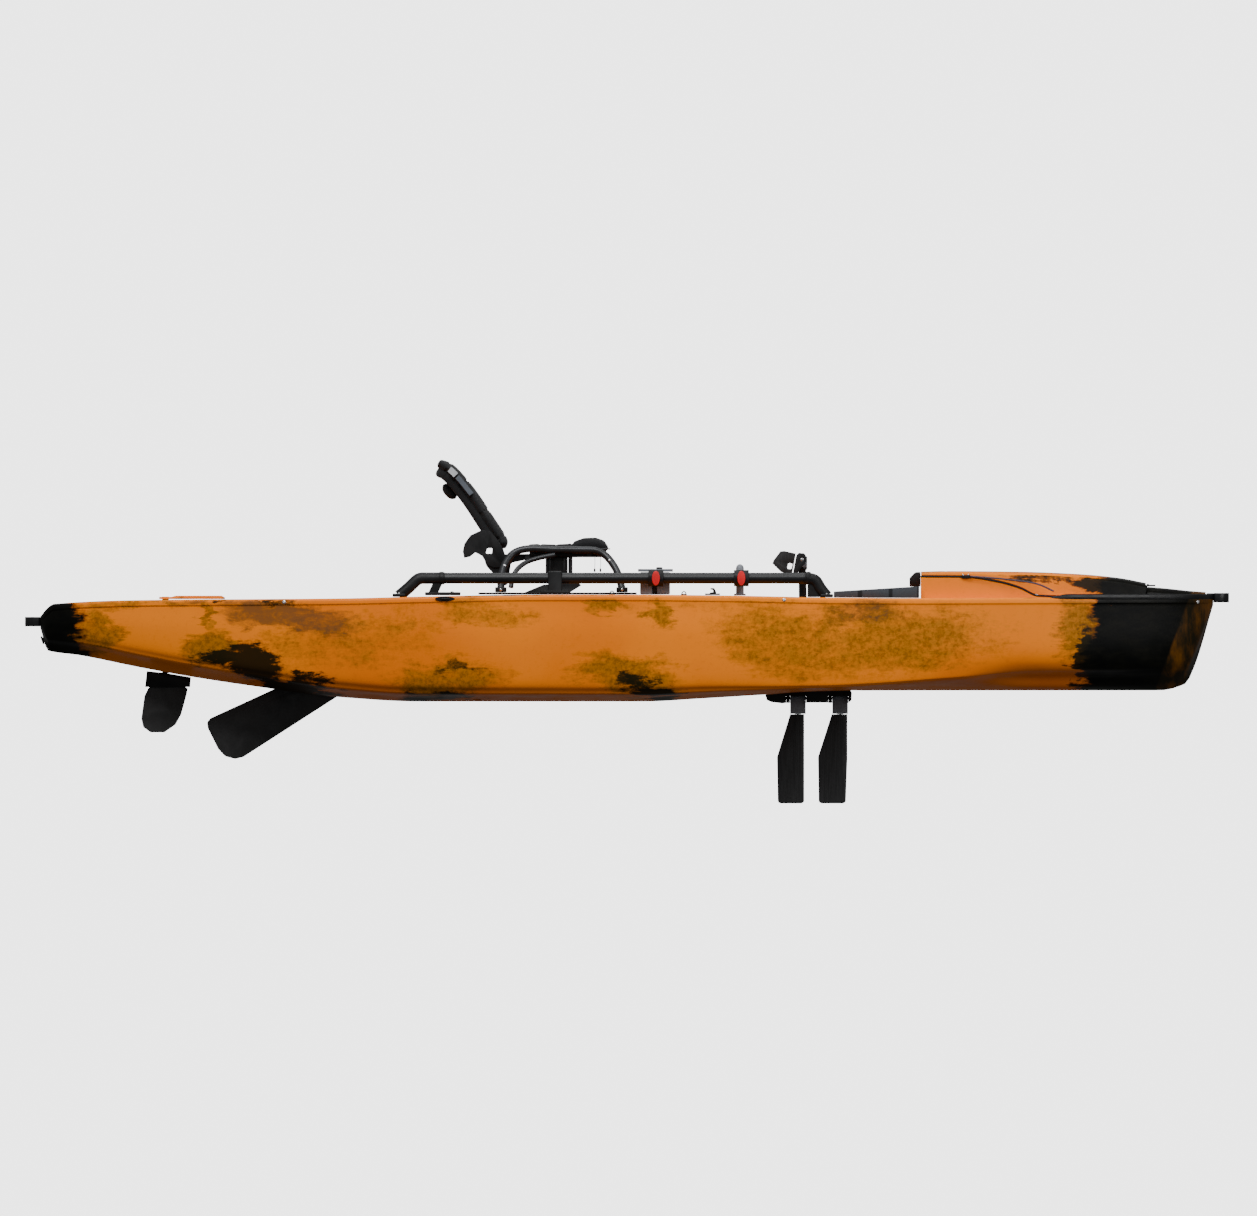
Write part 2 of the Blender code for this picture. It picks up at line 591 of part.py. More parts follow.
def build_console():
    low = deck(0.0) + GAP
    out, inner = -0.385, -0.315
    console = box("console", (0.045, out, low), (0.149, inner, 0.4485), "grey_plastic", 0.003)
    cut(console, box("console_gap", (0.087, out - 0.05, low - 0.1), (0.104, inner - 0.020, 0.438), "grey_plastic"))
    pivot = Vector((0.066, -0.345, 0.454))
    outline = rounded([(0.038, -0.360), (0.159, -0.360), (0.159, -0.330), (0.038, -0.330)], 0.012)
    lever = prism("steer_lever", outline, "z", 0.4495, 0.4590, "grey_plastic")
    set_origin(lever, pivot)


def build_post():
    low = deck(0.35) + GAP
    profile = [(low, 0.0205), (low + 0.006, 0.0205), (low + 0.0061, 0.0138), (0.462, 0.0138), (0.4695, 0.0115),
               (0.4740, 0.0070), (0.4756, 0.0025)]
    post = turned("direction_post", (0.391, -0.364, 0.0), (0, 0, 1), profile, "grey_plastic", 20)
    set_origin(post, (0.391, -0.364, low))


def build_deck_trim():
    for side, sign in sides():
        rings = []
        for x in (0.716, 0.85, 1.012):
            top = 0.381 + (x - 0.716) / 0.296 * 0.0180
            low = deck(x) + GAP
            inner, outer = sign * 0.315, sign * (gunwale(x) - 0.028)
            rings.append([Vector((x, inner, low)), Vector((x, inner, top)), Vector((x, outer, top)),
                          Vector((x, outer, low))])
        loft(f"deck_ramp_{side}", rings, "deck_foam", 20)
    hook_y = -0.400
    hook = prism("cleat_hook", [(0.286, deck(0.253) + GAP), (0.309, deck(0.253) + GAP), (0.309, 0.3795),
                                (0.302, 0.393), (0.289, 0.393), (0.289, 0.388), (0.298, 0.386), (0.298, 0.379),
                                (0.286, 0.377)], "y", hook_y - 0.008, hook_y + 0.008, "black_plastic")
    join(hook, box("cleat_hook_base", (0.270, hook_y - 0.012, deck(0.253) + GAP),
                   (0.322, hook_y + 0.012, deck(0.253) + 0.006), "black_plastic", 0.001))


# ---------------------------------------------------------------- hatches
def hatch_half(x):
    return gunwale(x) - HATCH_MARGIN


def lid_ring(x, inset, drop=0.0):
    half, top, low = hatch_half(x) - inset, hatch_top(x) - inset, hatch_seam(x) - drop
    edge = min(0.016, 0.45 * (top - low))
    side = [(half, low), (half, top - edge), (half - 0.45 * edge, top - 0.35 * edge), (half - 1.3 * edge, top),
            (0.5 * half, top + 0.004)]
    return ([Vector((x, y, z)) for y, z in side] + [Vector((x, -y, z)) for y, z in reversed(side)])


def hatch_stations():
    return [HATCH[0], 1.06, 1.10, 1.17, 1.225, 1.28, 1.32, 1.36, 1.395, 1.425, 1.50, 1.60, 1.70, HATCH[1]]


def build_hatch():
    lid = loft("hatch_lid", [lid_ring(x, 0.0) for x in hatch_stations()], "hull_plastic")
    inner = [x for x in hatch_stations() if HATCH[0] + 0.02 < x < HATCH[1] - 0.02]
    cut(lid, loft("hatch_lid_hollow", [lid_ring(x, 0.006, 0.05) for x in inner], "hull_plastic"))
    set_origin(lid, HATCH_HINGE)
    outline = [(x, hatch_half(x)) for x in hatch_stations()]
    rings = []
    band = 0.012
    shift_at = {HATCH[0]: band, HATCH[1]: -band}
    for x, y in [(x, -half) for x, half in outline] + [(x, half) for x, half in reversed(outline)]:
        low, high = hatch_seam(x) - SEAL, hatch_seam(x) - GAP
        inner_x, inner_y = x + shift_at.get(x, 0.0), y - math.copysign(band, y)
        rings.append([Vector(p) for p in ((x, y, low), (x, y, high), (inner_x, inner_y, high), (inner_x, inner_y, low))])
    loft("hatch_seal", rings, "black_rubber", closed=True)
    hinge = rod("hatch_hinge", (HATCH_HINGE.x, -0.070, HATCH_HINGE.z), (HATCH_HINGE.x, 0.070, HATCH_HINGE.z), 0.0045,
                "black_plastic", 12)
    for sign in (-1, 1):
        join(hinge, box(f"hatch_hinge_foot_{sign}", (HATCH_HINGE.x, sign * 0.055 - 0.012, 0.3988),
                        (HATCH_HINGE.x + 0.026, sign * 0.055 + 0.012, HATCH_HINGE.z + 0.001), "black_plastic"))
    cut(hinge, box("hatch_hinge_trim", (HATCH_HINGE.x - 0.05, -0.1, 0.35), (1.804, 0.1, HATCH_HINGE.z - 0.0055),
                   "black_plastic"))
    latch = prism("hatch_latch", rounded([(0.978, 0.398), (1.0165, 0.398), (1.0165, 0.4490), (0.998, 0.4480),
                                          (0.978, 0.428)], 0.005), "y", -0.040, 0.040, "black_plastic")
    set_origin(latch, HATCH_LATCH)


def build_hatch_cord():
    y = -hatch_half(1.176)
    box("cord_cleat", (1.157, y - 0.014, 0.4265), (1.189, y - 0.0035, 0.4385), "black_plastic", 0.002)
    route = bend_through(CORD_ROUTE, 19)
    pipe("hatch_cord", route, 0.0030, "black_rubber")


def build_bin_lid():
    x0, x1, half, _ = BIN
    lid = box("bin_lid", (x0 - 0.012, -half - 0.012, FLOOR_Z + GAP), (x1 + 0.012, half + 0.012, FLOOR_Z + 0.0125),
              "black_plastic", 0.003)
    set_origin(lid, BIN_HINGE)


# ---------------------------------------------------------------- seat
def hoop_y(z):
    share = min(max((0.515 - z) / (0.515 - 0.390), 0.0), 1.0)
    return SEAT_TOP_Y + share * (SEAT_FOOT_Y - SEAT_TOP_Y)


def build_seat_tracks():
    for side, sign in sides():
        low = deck(-0.15) + GAP
        inner, outer = sign * 0.304, sign * 0.342
        track = box(f"seat_track_{side}", (-0.515, min(inner, outer), low), (0.034, max(inner, outer), low + 0.007),
                    "black_plastic", 0.001)
        wedge = [(-0.367, low + 0.002), (-0.290, 0.4045), (-0.170, 0.4140), (-0.158, 0.402), (-0.205, low + 0.002)]
        join(track, prism(f"seat_wedge_{side}", wedge, "y", sign * 0.323 - 0.007, sign * 0.323 + 0.007,
                          "black_plastic"))


def build_seat():
    track_top = deck(-0.15) + GAP + 0.007
    riders = []
    for side, sign in sides():
        route = [(x, sign * hoop_y(z), z) for x, z in HOOP]
        hoop = tube(f"seat_hoop_{side}", bend_through(route, 25), SEAT_R, "seat_aluminium", 12)
        for end, x in (("aft", HOOP[0][0]), ("fwd", HOOP[-1][0])):
            join(hoop, box(f"seat_foot_{side}_{end}", (x - 0.020, sign * SEAT_FOOT_Y - 0.017, track_top + GAP),
                           (x + 0.020, sign * SEAT_FOOT_Y + 0.017, 0.396), "seat_aluminium", 0.002))
        riders.append(hoop)
    reach = SEAT_TOP_Y - SEAT_R - GAP
    frame = rod("seat_frame", (-0.345, -reach, 0.4995), (-0.345, reach, 0.4995), 0.009, "seat_aluminium", 12)
    join(frame, rod("seat_cross_fwd", (-0.130, -reach, 0.5095), (-0.130, reach, 0.5095), 0.009, "seat_aluminium", 12))
    for side, sign in sides():
        y = sign * 0.200
        join(frame, tube(f"seat_runner_{side}", [(-0.345, y, 0.4995), (-0.130, y, 0.5095)], 0.008, "seat_aluminium"))
        join(frame, box(f"seat_riser_{side}", (-0.282, y - 0.012, 0.4285), (-0.205, y + 0.012, 0.505),
                        "seat_aluminium", 0.002))
        bracket = rounded([(-0.498, 0.508), (-0.424, 0.510), (-0.282, 0.512), (-0.282, 0.4965), (-0.345, 0.4915),
                           (-0.402, 0.480), (-0.412, 0.404), (-0.446, 0.398), (-0.462, 0.442), (-0.488, 0.470)],
                          0.008)
        join(frame, prism(f"seat_hinge_{side}", bracket, "y", sign * 0.2255 - 0.004, sign * 0.2255 + 0.004,
                          "seat_aluminium"))
        join(frame, rod(f"seat_strut_{side}", (-0.196, y, 0.4285), (-0.196, y, 0.505), 0.0075, "seat_aluminium", 12))
        join(frame, box(f"seat_shoe_{side}", (-0.290, y - 0.014, 0.4200), (-0.180, y + 0.014, 0.4300),
                        "seat_aluminium", 0.002))
    rings = []
    for x, low, high, half in ((-0.352, 0.522, 0.534, 0.205), (-0.343, 0.520, 0.541, 0.226),
                               (-0.310, 0.520, 0.5430, 0.2345), (-0.200, 0.521, 0.5440, 0.2345),
                               (-0.178, 0.521, 0.5540, 0.2345), (-0.150, 0.521, 0.5645, 0.2345),
                               (-0.108, 0.521, 0.5660, 0.2345), (-0.076, 0.522, 0.5545, 0.226),
                               (-0.061, 0.525, 0.5380, 0.205)):
        edge = 0.35 * (high - low)
        ring_points = [(half - edge, low), (half, low + edge), (half, high - edge), (half - edge, high)]
        rings.append([Vector((x, y, z)) for y, z in ring_points]
                     + [Vector((x, -y, z)) for y, z in reversed(ring_points)])
    pan = loft("seat_pan", rings, "seat_fabric", 50)
    hinge_empty("seat_origin", (-0.23, 0, track_top), frame, pan, *riders)


def back_route(offset, count):
    """Points at a distance behind the back rest's front face."""
    front = bend_through([(x, 0.0, z) for x, z in BACK_FRONT], count)
    made = []
    for k, point in enumerate(front):
        ahead = (front[min(k + 1, count - 1)] - front[max(k - 1, 0)]).normalized()
        made.append(point + offset * Vector((-ahead.z, 0.0, ahead.x)))
    return made


def build_back_pad():
    count = 15
    centre = back_route(BACK_PAD_THICK / 2, count)
    rings = []
    for k, point in enumerate(centre):
        t = k / (count - 1)
        ahead = (centre[min(k + 1, count - 1)] - centre[max(k - 1, 0)]).normalized()
        normal = Vector((-ahead.z, 0.0, ahead.x))
        ends = min(1.0, math.sin(math.pi * min(max(t, 0.02), 0.98)) * 3.2)
        half = (0.222 - 0.050 * t * t) * (0.80 + 0.20 * ends ** 0.5)
        slim = 0.45 if t < 0.5 else 0.70
        thick = BACK_PAD_THICK / 2 * (slim + (1.0 - slim) * ends ** 0.5)
        corners = [(half - 0.6 * thick, -thick), (half, -0.4 * thick), (half, 0.4 * thick), (half - 0.6 * thick, thick)]
        corners += [(-y, n) for y, n in reversed(corners)]
        rings.append([point + Vector((0, y, 0)) + n * normal for y, n in corners])
    return loft("back_pad", rings, "seat_fabric", 50)


def build_back_frame():
    """A bent tube behind the pad, with a cross tube through its foot."""
    behind = back_route(BACK_PAD_THICK + 0.0115, 21)[1:18]
    low, high = behind[0], behind[-1]
    last = len(behind) - 1
    right = [Vector((p.x, -0.185 + 0.045 * (k / last) ** 2, p.z)) for k, p in enumerate(behind)]
    top = [high + Vector((-0.015, y, 0.006)) for y in (-0.110, 0.0, 0.110)]
    left = [Vector((p.x, -p.y, p.z)) for p in reversed(right)]
    frame = tube("back_frame", right + top + left, 0.0105, "seat_aluminium", 12)
    cross = low + Vector((0, 0, 0.012))
    join(frame, rod("back_cross", (cross.x, -0.2302, cross.z), (cross.x, 0.2302, cross.z), 0.008, "seat_aluminium", 12))
    return frame


def build_back_roll():
    """The lumbar roll strapped behind the frame."""
    behind_frame = BACK_PAD_THICK + 0.024 + 0.0165
    middle = back_route(behind_frame, 41)[28]
    slope, normal = Vector((-0.66, 0.0, 0.75)), Vector((-0.75, 0.0, -0.66))
    angles = [2 * math.pi * k / 16 for k in range(16)]
    oval = [0.036 * math.cos(a) * slope + 0.0150 * math.sin(a) * normal for a in angles]
    ends = ((-0.115, 0.45), (-0.108, 0.85), (-0.095, 1.0), (0.095, 1.0), (0.108, 0.85), (0.115, 0.45))
    rings = [[middle + size * p + Vector((0, y, 0)) for p in oval] for y, size in ends]
    return loft("back_roll", rings, "seat_fabric", 50)


def build_back_bracket(side, y):
    """A hooked plate with a window, that carries the frame's foot."""
    outline = [(-0.5050, 0.5930), (-0.5420, 0.5760), (-0.5630, 0.5470), (-0.5690, 0.5200), (-0.5640, 0.4970),
               (-0.5440, 0.5010), (-0.5250, 0.5160), (-0.5020, 0.5040), (-0.4840, 0.4740), (-0.4620, 0.4630),
               (-0.4290, 0.4660), (-0.4160, 0.4880), (-0.4290, 0.5300), (-0.4510, 0.5640), (-0.4740, 0.5900)]
    plate = prism(f"back_bracket_{side}", outline, "y", y - 0.0027, y + 0.0027, "black_plastic")
    window = rounded([(-0.489, 0.512), (-0.468, 0.512), (-0.466, 0.531), (-0.484, 0.531)], 0.004)
    cut(plate, prism(f"back_bracket_hole_{side}", window, "y", y - 0.02, y + 0.02, "black_plastic"))
    return plate


def build_back():
    riders = [build_back_pad(), build_back_frame(), build_back_roll()]
    riders += [build_back_bracket(side, sign * 0.2333) for side, sign in sides()]
    hinge_empty("back_pivot", BACK_PIVOT, *riders)


# ---------------------------------------------------------------- drive
def build_spine():
    outline = rounded([(0.506, 0.0565), (0.784, 0.0565), (0.784, 0.150), (0.720, 0.205), (0.655, 0.238),
                       (0.575, 0.238), (0.540, 0.205), (0.506, 0.150)], 0.018)
    spine = prism("drive_spine", outline, "y", -SPINE_HALF, SPINE_HALF, "black_plastic")
    cut(spine, rod("spine_bore", (DRIVE_X, 0, 0.0), (DRIVE_X, 0, 0.086), PIVOT_BOSS_R + 0.0015, "black_plastic", 24))
    cut(spine, rod("spine_axle_bore", (CRANK.x, -0.2, CRANK.z), (CRANK.x, 0.2, CRANK.z), 0.0105, "black_plastic", 16))


def build_cranks():
    for side, sign in sides():
        y = sign * CRANK_Y
        hub = rod(f"crank_{side}", (CRANK.x, y - 0.011, CRANK.z), (CRANK.x, y + 0.011, CRANK.z), 0.027,
                  "black_plastic", 20)
        arm = [(CRANK.x - 0.015, CRANK.z), (CRANK.x + 0.015, CRANK.z), (PEDAL.x + 0.0125, PEDAL.z + 0.016),
               (PEDAL.x + 0.006, PEDAL.z + 0.022), (PEDAL.x - 0.006, PEDAL.z + 0.022), (PEDAL.x - 0.0125, PEDAL.z + 0.016)]
        join(hub, prism(f"crank_arm_{side}", arm, "y", y - 0.007, y + 0.007, "black_plastic"))
        start = sign * GAP
        join(hub, rod(f"crank_axle_{side}", (CRANK.x, start, CRANK.z), (CRANK.x, y, CRANK.z), 0.009,
                      "black_plastic", 16))
        join(hub, rod(f"pedal_axle_{side}", (PEDAL.x, y, PEDAL.z), (PEDAL.x, sign * (PEDAL_Y + 0.045), PEDAL.z), 0.006,
                      "black_plastic", 12))
        join(hub, box(f"adjuster_{side}", (PEDAL.x - 0.002, y - 0.012, 0.456), (PEDAL.x + 0.018, y + 0.012, 0.503),
                      "black_plastic", 0.003))
        set_origin(hub, CRANK)


def build_pedals():
    for side, sign in sides():
        y = sign * PEDAL_Y
        outline = rounded([(0.5740, 0.4400), (0.5880, 0.4370), (0.6000, 0.4600), (0.6180, 0.4780), (0.6210, 0.5060),
                           (0.5960, 0.5170), (0.5860, 0.5060)], 0.006)
        pedal = prism(f"pedal_{side}", outline, "y", y - 0.050, y + 0.050, "black_plastic")
        cut(pedal, rod(f"pedal_bore_{side}", (PEDAL.x, y - 0.1, PEDAL.z), (PEDAL.x, y + 0.1, PEDAL.z), 0.0068,
                       "black_plastic", 16))
        outer = [(0.5710, 0.4395), (0.5540, 0.4420), (0.5330, 0.4490), (0.5035, 0.4780), (0.5075, 0.4890),
                 (0.5310, 0.5200), (0.5450, 0.5215), (0.5845, 0.5125), (0.5825, 0.5000), (0.5730, 0.4500)]
        strap = prism(f"pedal_strap_{side}", outer, "y", y - 0.050, y + 0.050, "black_rubber")
        foot_room = [(0.6100, 0.4000), (0.5560, 0.4000), (0.5365, 0.4530), (0.5095, 0.4790), (0.5125, 0.4880),
                     (0.5335, 0.5160), (0.5450, 0.5600), (0.6100, 0.5600)]
        window = rounded([(0.5540, 0.4600), (0.5690, 0.4580), (0.5740, 0.4770), (0.5590, 0.4800)], 0.005)
        cut(strap, prism(f"foot_room_{side}", foot_room, "y", y - 0.0465, y + 0.0465, "black_rubber"))
        cut(strap, prism(f"strap_window_{side}", window, "y", y - 0.06, y + 0.06, "black_rubber"))
        hinge_empty(f"pedal_pivot_{side}", (PEDAL.x, y, PEDAL.z), pedal, strap)


def build_pod():
    outline = [(0.479, 0.0220), (0.484, 0.0050), (0.500, -0.0020), (0.537, -0.0066), (0.560, -0.0040),
               (0.768, -0.0035), (0.7770, 0.0040), (0.7790, 0.0300), (0.7740, 0.0400), (0.7500, 0.0525),
               (0.5200, 0.0525), (0.4900, 0.0420)]
    plate = prism("pod_plate", outline, "y", -0.040, 0.040, "black_plastic")
    join(plate, rod("pod_boss", (DRIVE_X, 0, 0.045), (DRIVE_X, 0, 0.084), PIVOT_BOSS_R, "black_plastic", 24))
    for name, x in MASTS.items():
        cut(plate, box(f"pod_gap_{name}", (x - 0.0410, -0.08, -0.05), (x + 0.0290, 0.08, 0.0325), "black_plastic"))
    cut(plate, rod("pod_bore", (0.520, 0, SWING_Z), (0.90, 0, SWING_Z), SHAFT_R + 0.0006, "black_plastic", 16))
    shaft = rod("swing_shaft", (0.5215, 0, SWING_Z), (0.7780, 0, SWING_Z), SHAFT_R, "stainless", 12)
    pivots = [plate, shaft]
    hinge_empty("pod_pivot", (DRIVE_X, 0, SWING_Z), *pivots)


def build_drum(name, x):
    """A grooved drum on the swing shaft, with two cheeks that carry the mast."""
    drum = rod(f"drum_{name}", (x - 0.0275, 0, SWING_Z), (x + 0.0275, 0, SWING_Z), 0.0165, "grey_plastic", 20)
    for sign in (-1, 1):
        join(drum, box(f"drum_cheek_{name}_{sign}", (x - 0.0270, sign * 0.0145 - 0.0030, -0.0385),
                       (x + 0.0270, sign * 0.0145 + 0.0030, SWING_Z), "grey_plastic"))
    cut(drum, rod(f"drum_bore_{name}", (x - 0.1, 0, SWING_Z), (x + 0.1, 0, SWING_Z), SHAFT_R + 0.0006,
                  "grey_plastic", 16))
    set_origin(drum, (x, 0, SWING_Z))


def build_mast(name, x):
    """The block between the cheeks, rounded on top so that it can kick back, and its steel rod."""
    half, low, shoulder, round_top = 0.0270, KICK_Z - 0.0190, KICK_Z - 0.0040, 0.0160
    angles = [math.pi * k / 10 for k in range(1, 10)]
    block = [(x + half, low), (x + half, shoulder)]
    block += [(x + round_top * math.cos(a), KICK_Z + round_top * math.sin(a)) for a in angles]
    block += [(x - half, shoulder), (x - half, low)]
    mast = prism(f"mast_{name}", block, "y", -0.0105, 0.0105, "grey_plastic")
    join(mast, rod(f"mast_rod_{name}", (x, 0, -0.030), (x, 0, FIN_TIP + 0.055), MAST_R, "stainless", 12))
    set_origin(mast, (x, 0, KICK_Z))


def build_fin(name, x):
    """A flexible blade that sleeves the mast rod, thickest just behind its leading edge."""
    lead_top, lead_low, trail_top, trail_mid, trail_tip = FIN_EDGES[name]
    bend_z, mid_z = -0.20, -0.1922
    section = [(0.0, 0.0028), (0.10, 0.0068), (0.30, 0.0074), (0.55, 0.0058), (0.80, 0.0032), (1.0, 0.0013)]
    rings = []
    for z in (FIN_TOP, -0.075, -0.115, -0.155, mid_z, -0.250, -0.305, FIN_TIP):
        lead = lead_top + (lead_low - lead_top) * max(0.0, (z - bend_z) / (FIN_TIP - bend_z))
        if z > mid_z:
            trail = trail_top + (trail_mid - trail_top) * (z - FIN_TOP) / (mid_z - FIN_TOP)
        else:
            trail = trail_mid + (trail_tip - trail_mid) * (z - mid_z) / (FIN_TIP - mid_z)
        taper = 1.0 if z > -0.30 else 0.6
        near = [(lead - s * (lead - trail), -t * taper - GAP) for s, t in section]
        rings.append([Vector((u, v, z)) for u, v in near] + [Vector((u, -v, z)) for u, v in reversed(near)])
    fin = loft(f"fin_{name}", rings, "black_rubber", 30)
    cut(fin, rod(f"fin_bore_{name}", (x, 0, 0.0), (x, 0, FIN_TIP + 0.050), MAST_R + 0.0006, "black_rubber", 12))
    set_origin(fin, (x, 0, FIN_TOP))


# ---------------------------------------------------------------- rudder and skeg
def build_rudder():
    top = deck(RUDDER_X) + 0.011
    stock = rod("rudder_stock", (RUDDER_X, 0, 0.098), (RUDDER_X, 0, top), STOCK_R, "black_plastic", 16)
    side = [(-1.663, 0.1055), (-1.598, 0.0988), (-1.510, 0.0840), (-1.513, 0.050), (-1.669, 0.050)]
    head = prism("rudder_head", side, "y", -0.0165, 0.0165, "black_plastic")
    cut(head, box("rudder_head_slot", (-1.75, -RUDDER_THICK / 2 - CLEAR, 0.0), (-1.45, RUDDER_THICK / 2 + CLEAR, 0.0965),
                  "black_plastic"))
    join(stock, head)
    low = deck(-1.479) + GAP
    tiller = prism("tiller", rounded([(-1.620, -0.028), (-1.575, -0.028), (-1.470, -0.012), (-1.440, -0.012),
                                      (-1.440, 0.012), (-1.470, 0.012), (-1.575, 0.028), (-1.620, 0.028)], 0.008),
                   "z", low + 0.001, low + 0.0085, "black_plastic")
    cover = [(-1.577, low + 0.001), (-1.392, low + 0.001), (-1.392, 0.3600), (-1.404, 0.3665), (-1.562, 0.3665),
             (-1.577, 0.3625)]
    join(tiller, prism("tiller_cover", cover, "y", -0.019, 0.019, "black_plastic"))
    cut(tiller, rod("tiller_bore", (RUDDER_X, 0, 0.3), (RUDDER_X, 0, 0.5), STOCK_R + 0.0005, "black_plastic", 20))
    blade = prism("rudder_blade", RUDDER_OUTLINE, "y", -RUDDER_THICK / 2, RUDDER_THICK / 2, "black_plastic")
    set_origin(blade, RUDDER_KICK)
    hinge_empty("rudder_pivot", (RUDDER_X, 0, 0.2), stock, tiller)


def build_skeg():
    skeg = prism("skeg", SKEG_OUTLINE, "y", -SKEG_THICK / 2, SKEG_THICK / 2, "black_plastic")
    cut(skeg, rod("skeg_bore", (SKEG_PIVOT.x, -0.1, SKEG_PIVOT.z), (SKEG_PIVOT.x, 0.1, SKEG_PIVOT.z), 0.0057,
                  "black_plastic", 16))
    set_origin(skeg, SKEG_PIVOT)
    rod("skeg_pin", (SKEG_PIVOT.x, -SLOT_HALF + GAP, SKEG_PIVOT.z), (SKEG_PIVOT.x, SLOT_HALF - GAP, SKEG_PIVOT.z),
        0.005, "stainless", 16)


def main():
    for old in list(bpy.data.objects):
        bpy.data.objects.remove(old)
    build_hull()
    build_end_handles()
    build_drain_plug()
    build_rails()
    build_rail_brackets()
    build_clamps()
    build_console()
    build_post()
    build_deck_trim()
    build_hatch()
    build_hatch_cord()
    build_bin_lid()
    build_seat_tracks()
    build_seat()
    build_back()
    build_spine()
    build_cranks()
    build_pedals()
    build_pod()
    for name, x in MASTS.items():
        build_drum(name, x)
        build_mast(name, x)
        build_fin(name, x)
    build_rudder()
    build_skeg()


main()
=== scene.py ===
"""The looks of a pedal fishing kayak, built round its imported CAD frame. Metres, +X bow, +Y port, +Z up."""

import math

import bmesh
import bpy
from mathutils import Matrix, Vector


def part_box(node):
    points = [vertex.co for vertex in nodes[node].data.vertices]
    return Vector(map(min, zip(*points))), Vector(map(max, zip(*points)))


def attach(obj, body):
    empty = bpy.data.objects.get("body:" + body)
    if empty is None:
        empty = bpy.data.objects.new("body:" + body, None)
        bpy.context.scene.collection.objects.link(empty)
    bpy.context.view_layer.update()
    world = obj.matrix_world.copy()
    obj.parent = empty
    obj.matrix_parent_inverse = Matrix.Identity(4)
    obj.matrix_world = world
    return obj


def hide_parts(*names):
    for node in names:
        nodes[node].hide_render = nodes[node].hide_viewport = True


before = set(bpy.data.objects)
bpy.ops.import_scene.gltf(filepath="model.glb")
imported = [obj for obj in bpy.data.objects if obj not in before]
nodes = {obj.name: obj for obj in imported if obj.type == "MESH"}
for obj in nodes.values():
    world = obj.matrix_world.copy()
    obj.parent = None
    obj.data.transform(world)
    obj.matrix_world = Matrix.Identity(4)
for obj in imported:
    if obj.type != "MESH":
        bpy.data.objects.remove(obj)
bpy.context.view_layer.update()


# ---------------------------------------------------------------- node materials
class Paint:
    """A Principled material and short ways to add procedural nodes to it."""

    def __init__(self, name, roughness=0.5, metallic=0.0, specular=0.5):
        self.material = bpy.data.materials.new(name)
        self.material.use_nodes = True
        self.tree = self.material.node_tree
        self.shader = self.tree.nodes["Principled BSDF"]
        self.shader.inputs["Roughness"].default_value = roughness
        self.shader.inputs["Metallic"].default_value = metallic
        self.shader.inputs["Specular IOR Level"].default_value = specular
        self.place = self.add("ShaderNodeTexCoord").outputs["Object"]
        self.bumps = None

    def add(self, kind, **settings):
        node = self.tree.nodes.new(kind)
        for key, value in settings.items():
            setattr(node, key, value)
        return node

    def feed(self, socket, value):
        if isinstance(value, bpy.types.NodeSocket):
            self.tree.links.new(value, socket)
        elif isinstance(value, (tuple, list)) and len(value) == 3 and socket.type == "RGBA":
            socket.default_value = (*value, 1.0)
        else:
            socket.default_value = value

    def stretch(self, scale, turn=(0, 0, 0), shift=(0, 0, 0), source=None):
        node = self.add("ShaderNodeMapping")
        self.feed(node.inputs["Vector"], source or self.place)
        node.inputs["Location"].default_value = shift
        node.inputs["Rotation"].default_value = turn
        node.inputs["Scale"].default_value = scale
        return node.outputs["Vector"]

    def noise(self, scale, detail=4.0, rough=0.55, distortion=0.0, source=None, colour=False):
        node = self.add("ShaderNodeTexNoise")
        self.feed(node.inputs["Vector"], source or self.place)
        node.inputs["Scale"].default_value = scale
        node.inputs["Detail"].default_value = detail
        node.inputs["Roughness"].default_value = rough
        node.inputs["Distortion"].default_value = distortion
        return node.outputs["Color" if colour else "Fac"]

    def sums(self, operation, a, b=0.0, clamp=False):
        node = self.add("ShaderNodeMath", operation=operation, use_clamp=clamp)
        self.feed(node.inputs[0], a)
        self.feed(node.inputs[1], b)
        return node.outputs[0]

    def span(self, value, low, high, to_low=0.0, to_high=1.0, soft=True):
        node = self.add("ShaderNodeMapRange", interpolation_type="SMOOTHSTEP" if soft else "LINEAR")
        for socket, given in zip(node.inputs, (value, low, high, to_low, to_high)):
            self.feed(socket, given)
        return node.outputs["Result"]

    def mix(self, share, a, b):
        node = self.add("ShaderNodeMix", data_type="RGBA")
        self.feed(node.inputs["Factor"], share)
        self.feed(node.inputs[6], a)
        self.feed(node.inputs[7], b)
        return node.outputs[2]

    def colour(self, value):
        self.feed(self.shader.inputs["Base Color"], value)

    def rough(self, value):
        self.feed(self.shader.inputs["Roughness"], value)

    def bump(self, height, strength, distance):
        node = self.add("ShaderNodeBump")
        self.feed(node.inputs["Height"], height)
        node.inputs["Strength"].default_value = strength
        node.inputs["Distance"].default_value = distance
        if self.bumps:
            self.tree.links.new(self.bumps, node.inputs["Normal"])
        self.bumps = node.outputs["Normal"]
        self.tree.links.new(self.bumps, self.shader.inputs["Normal"])


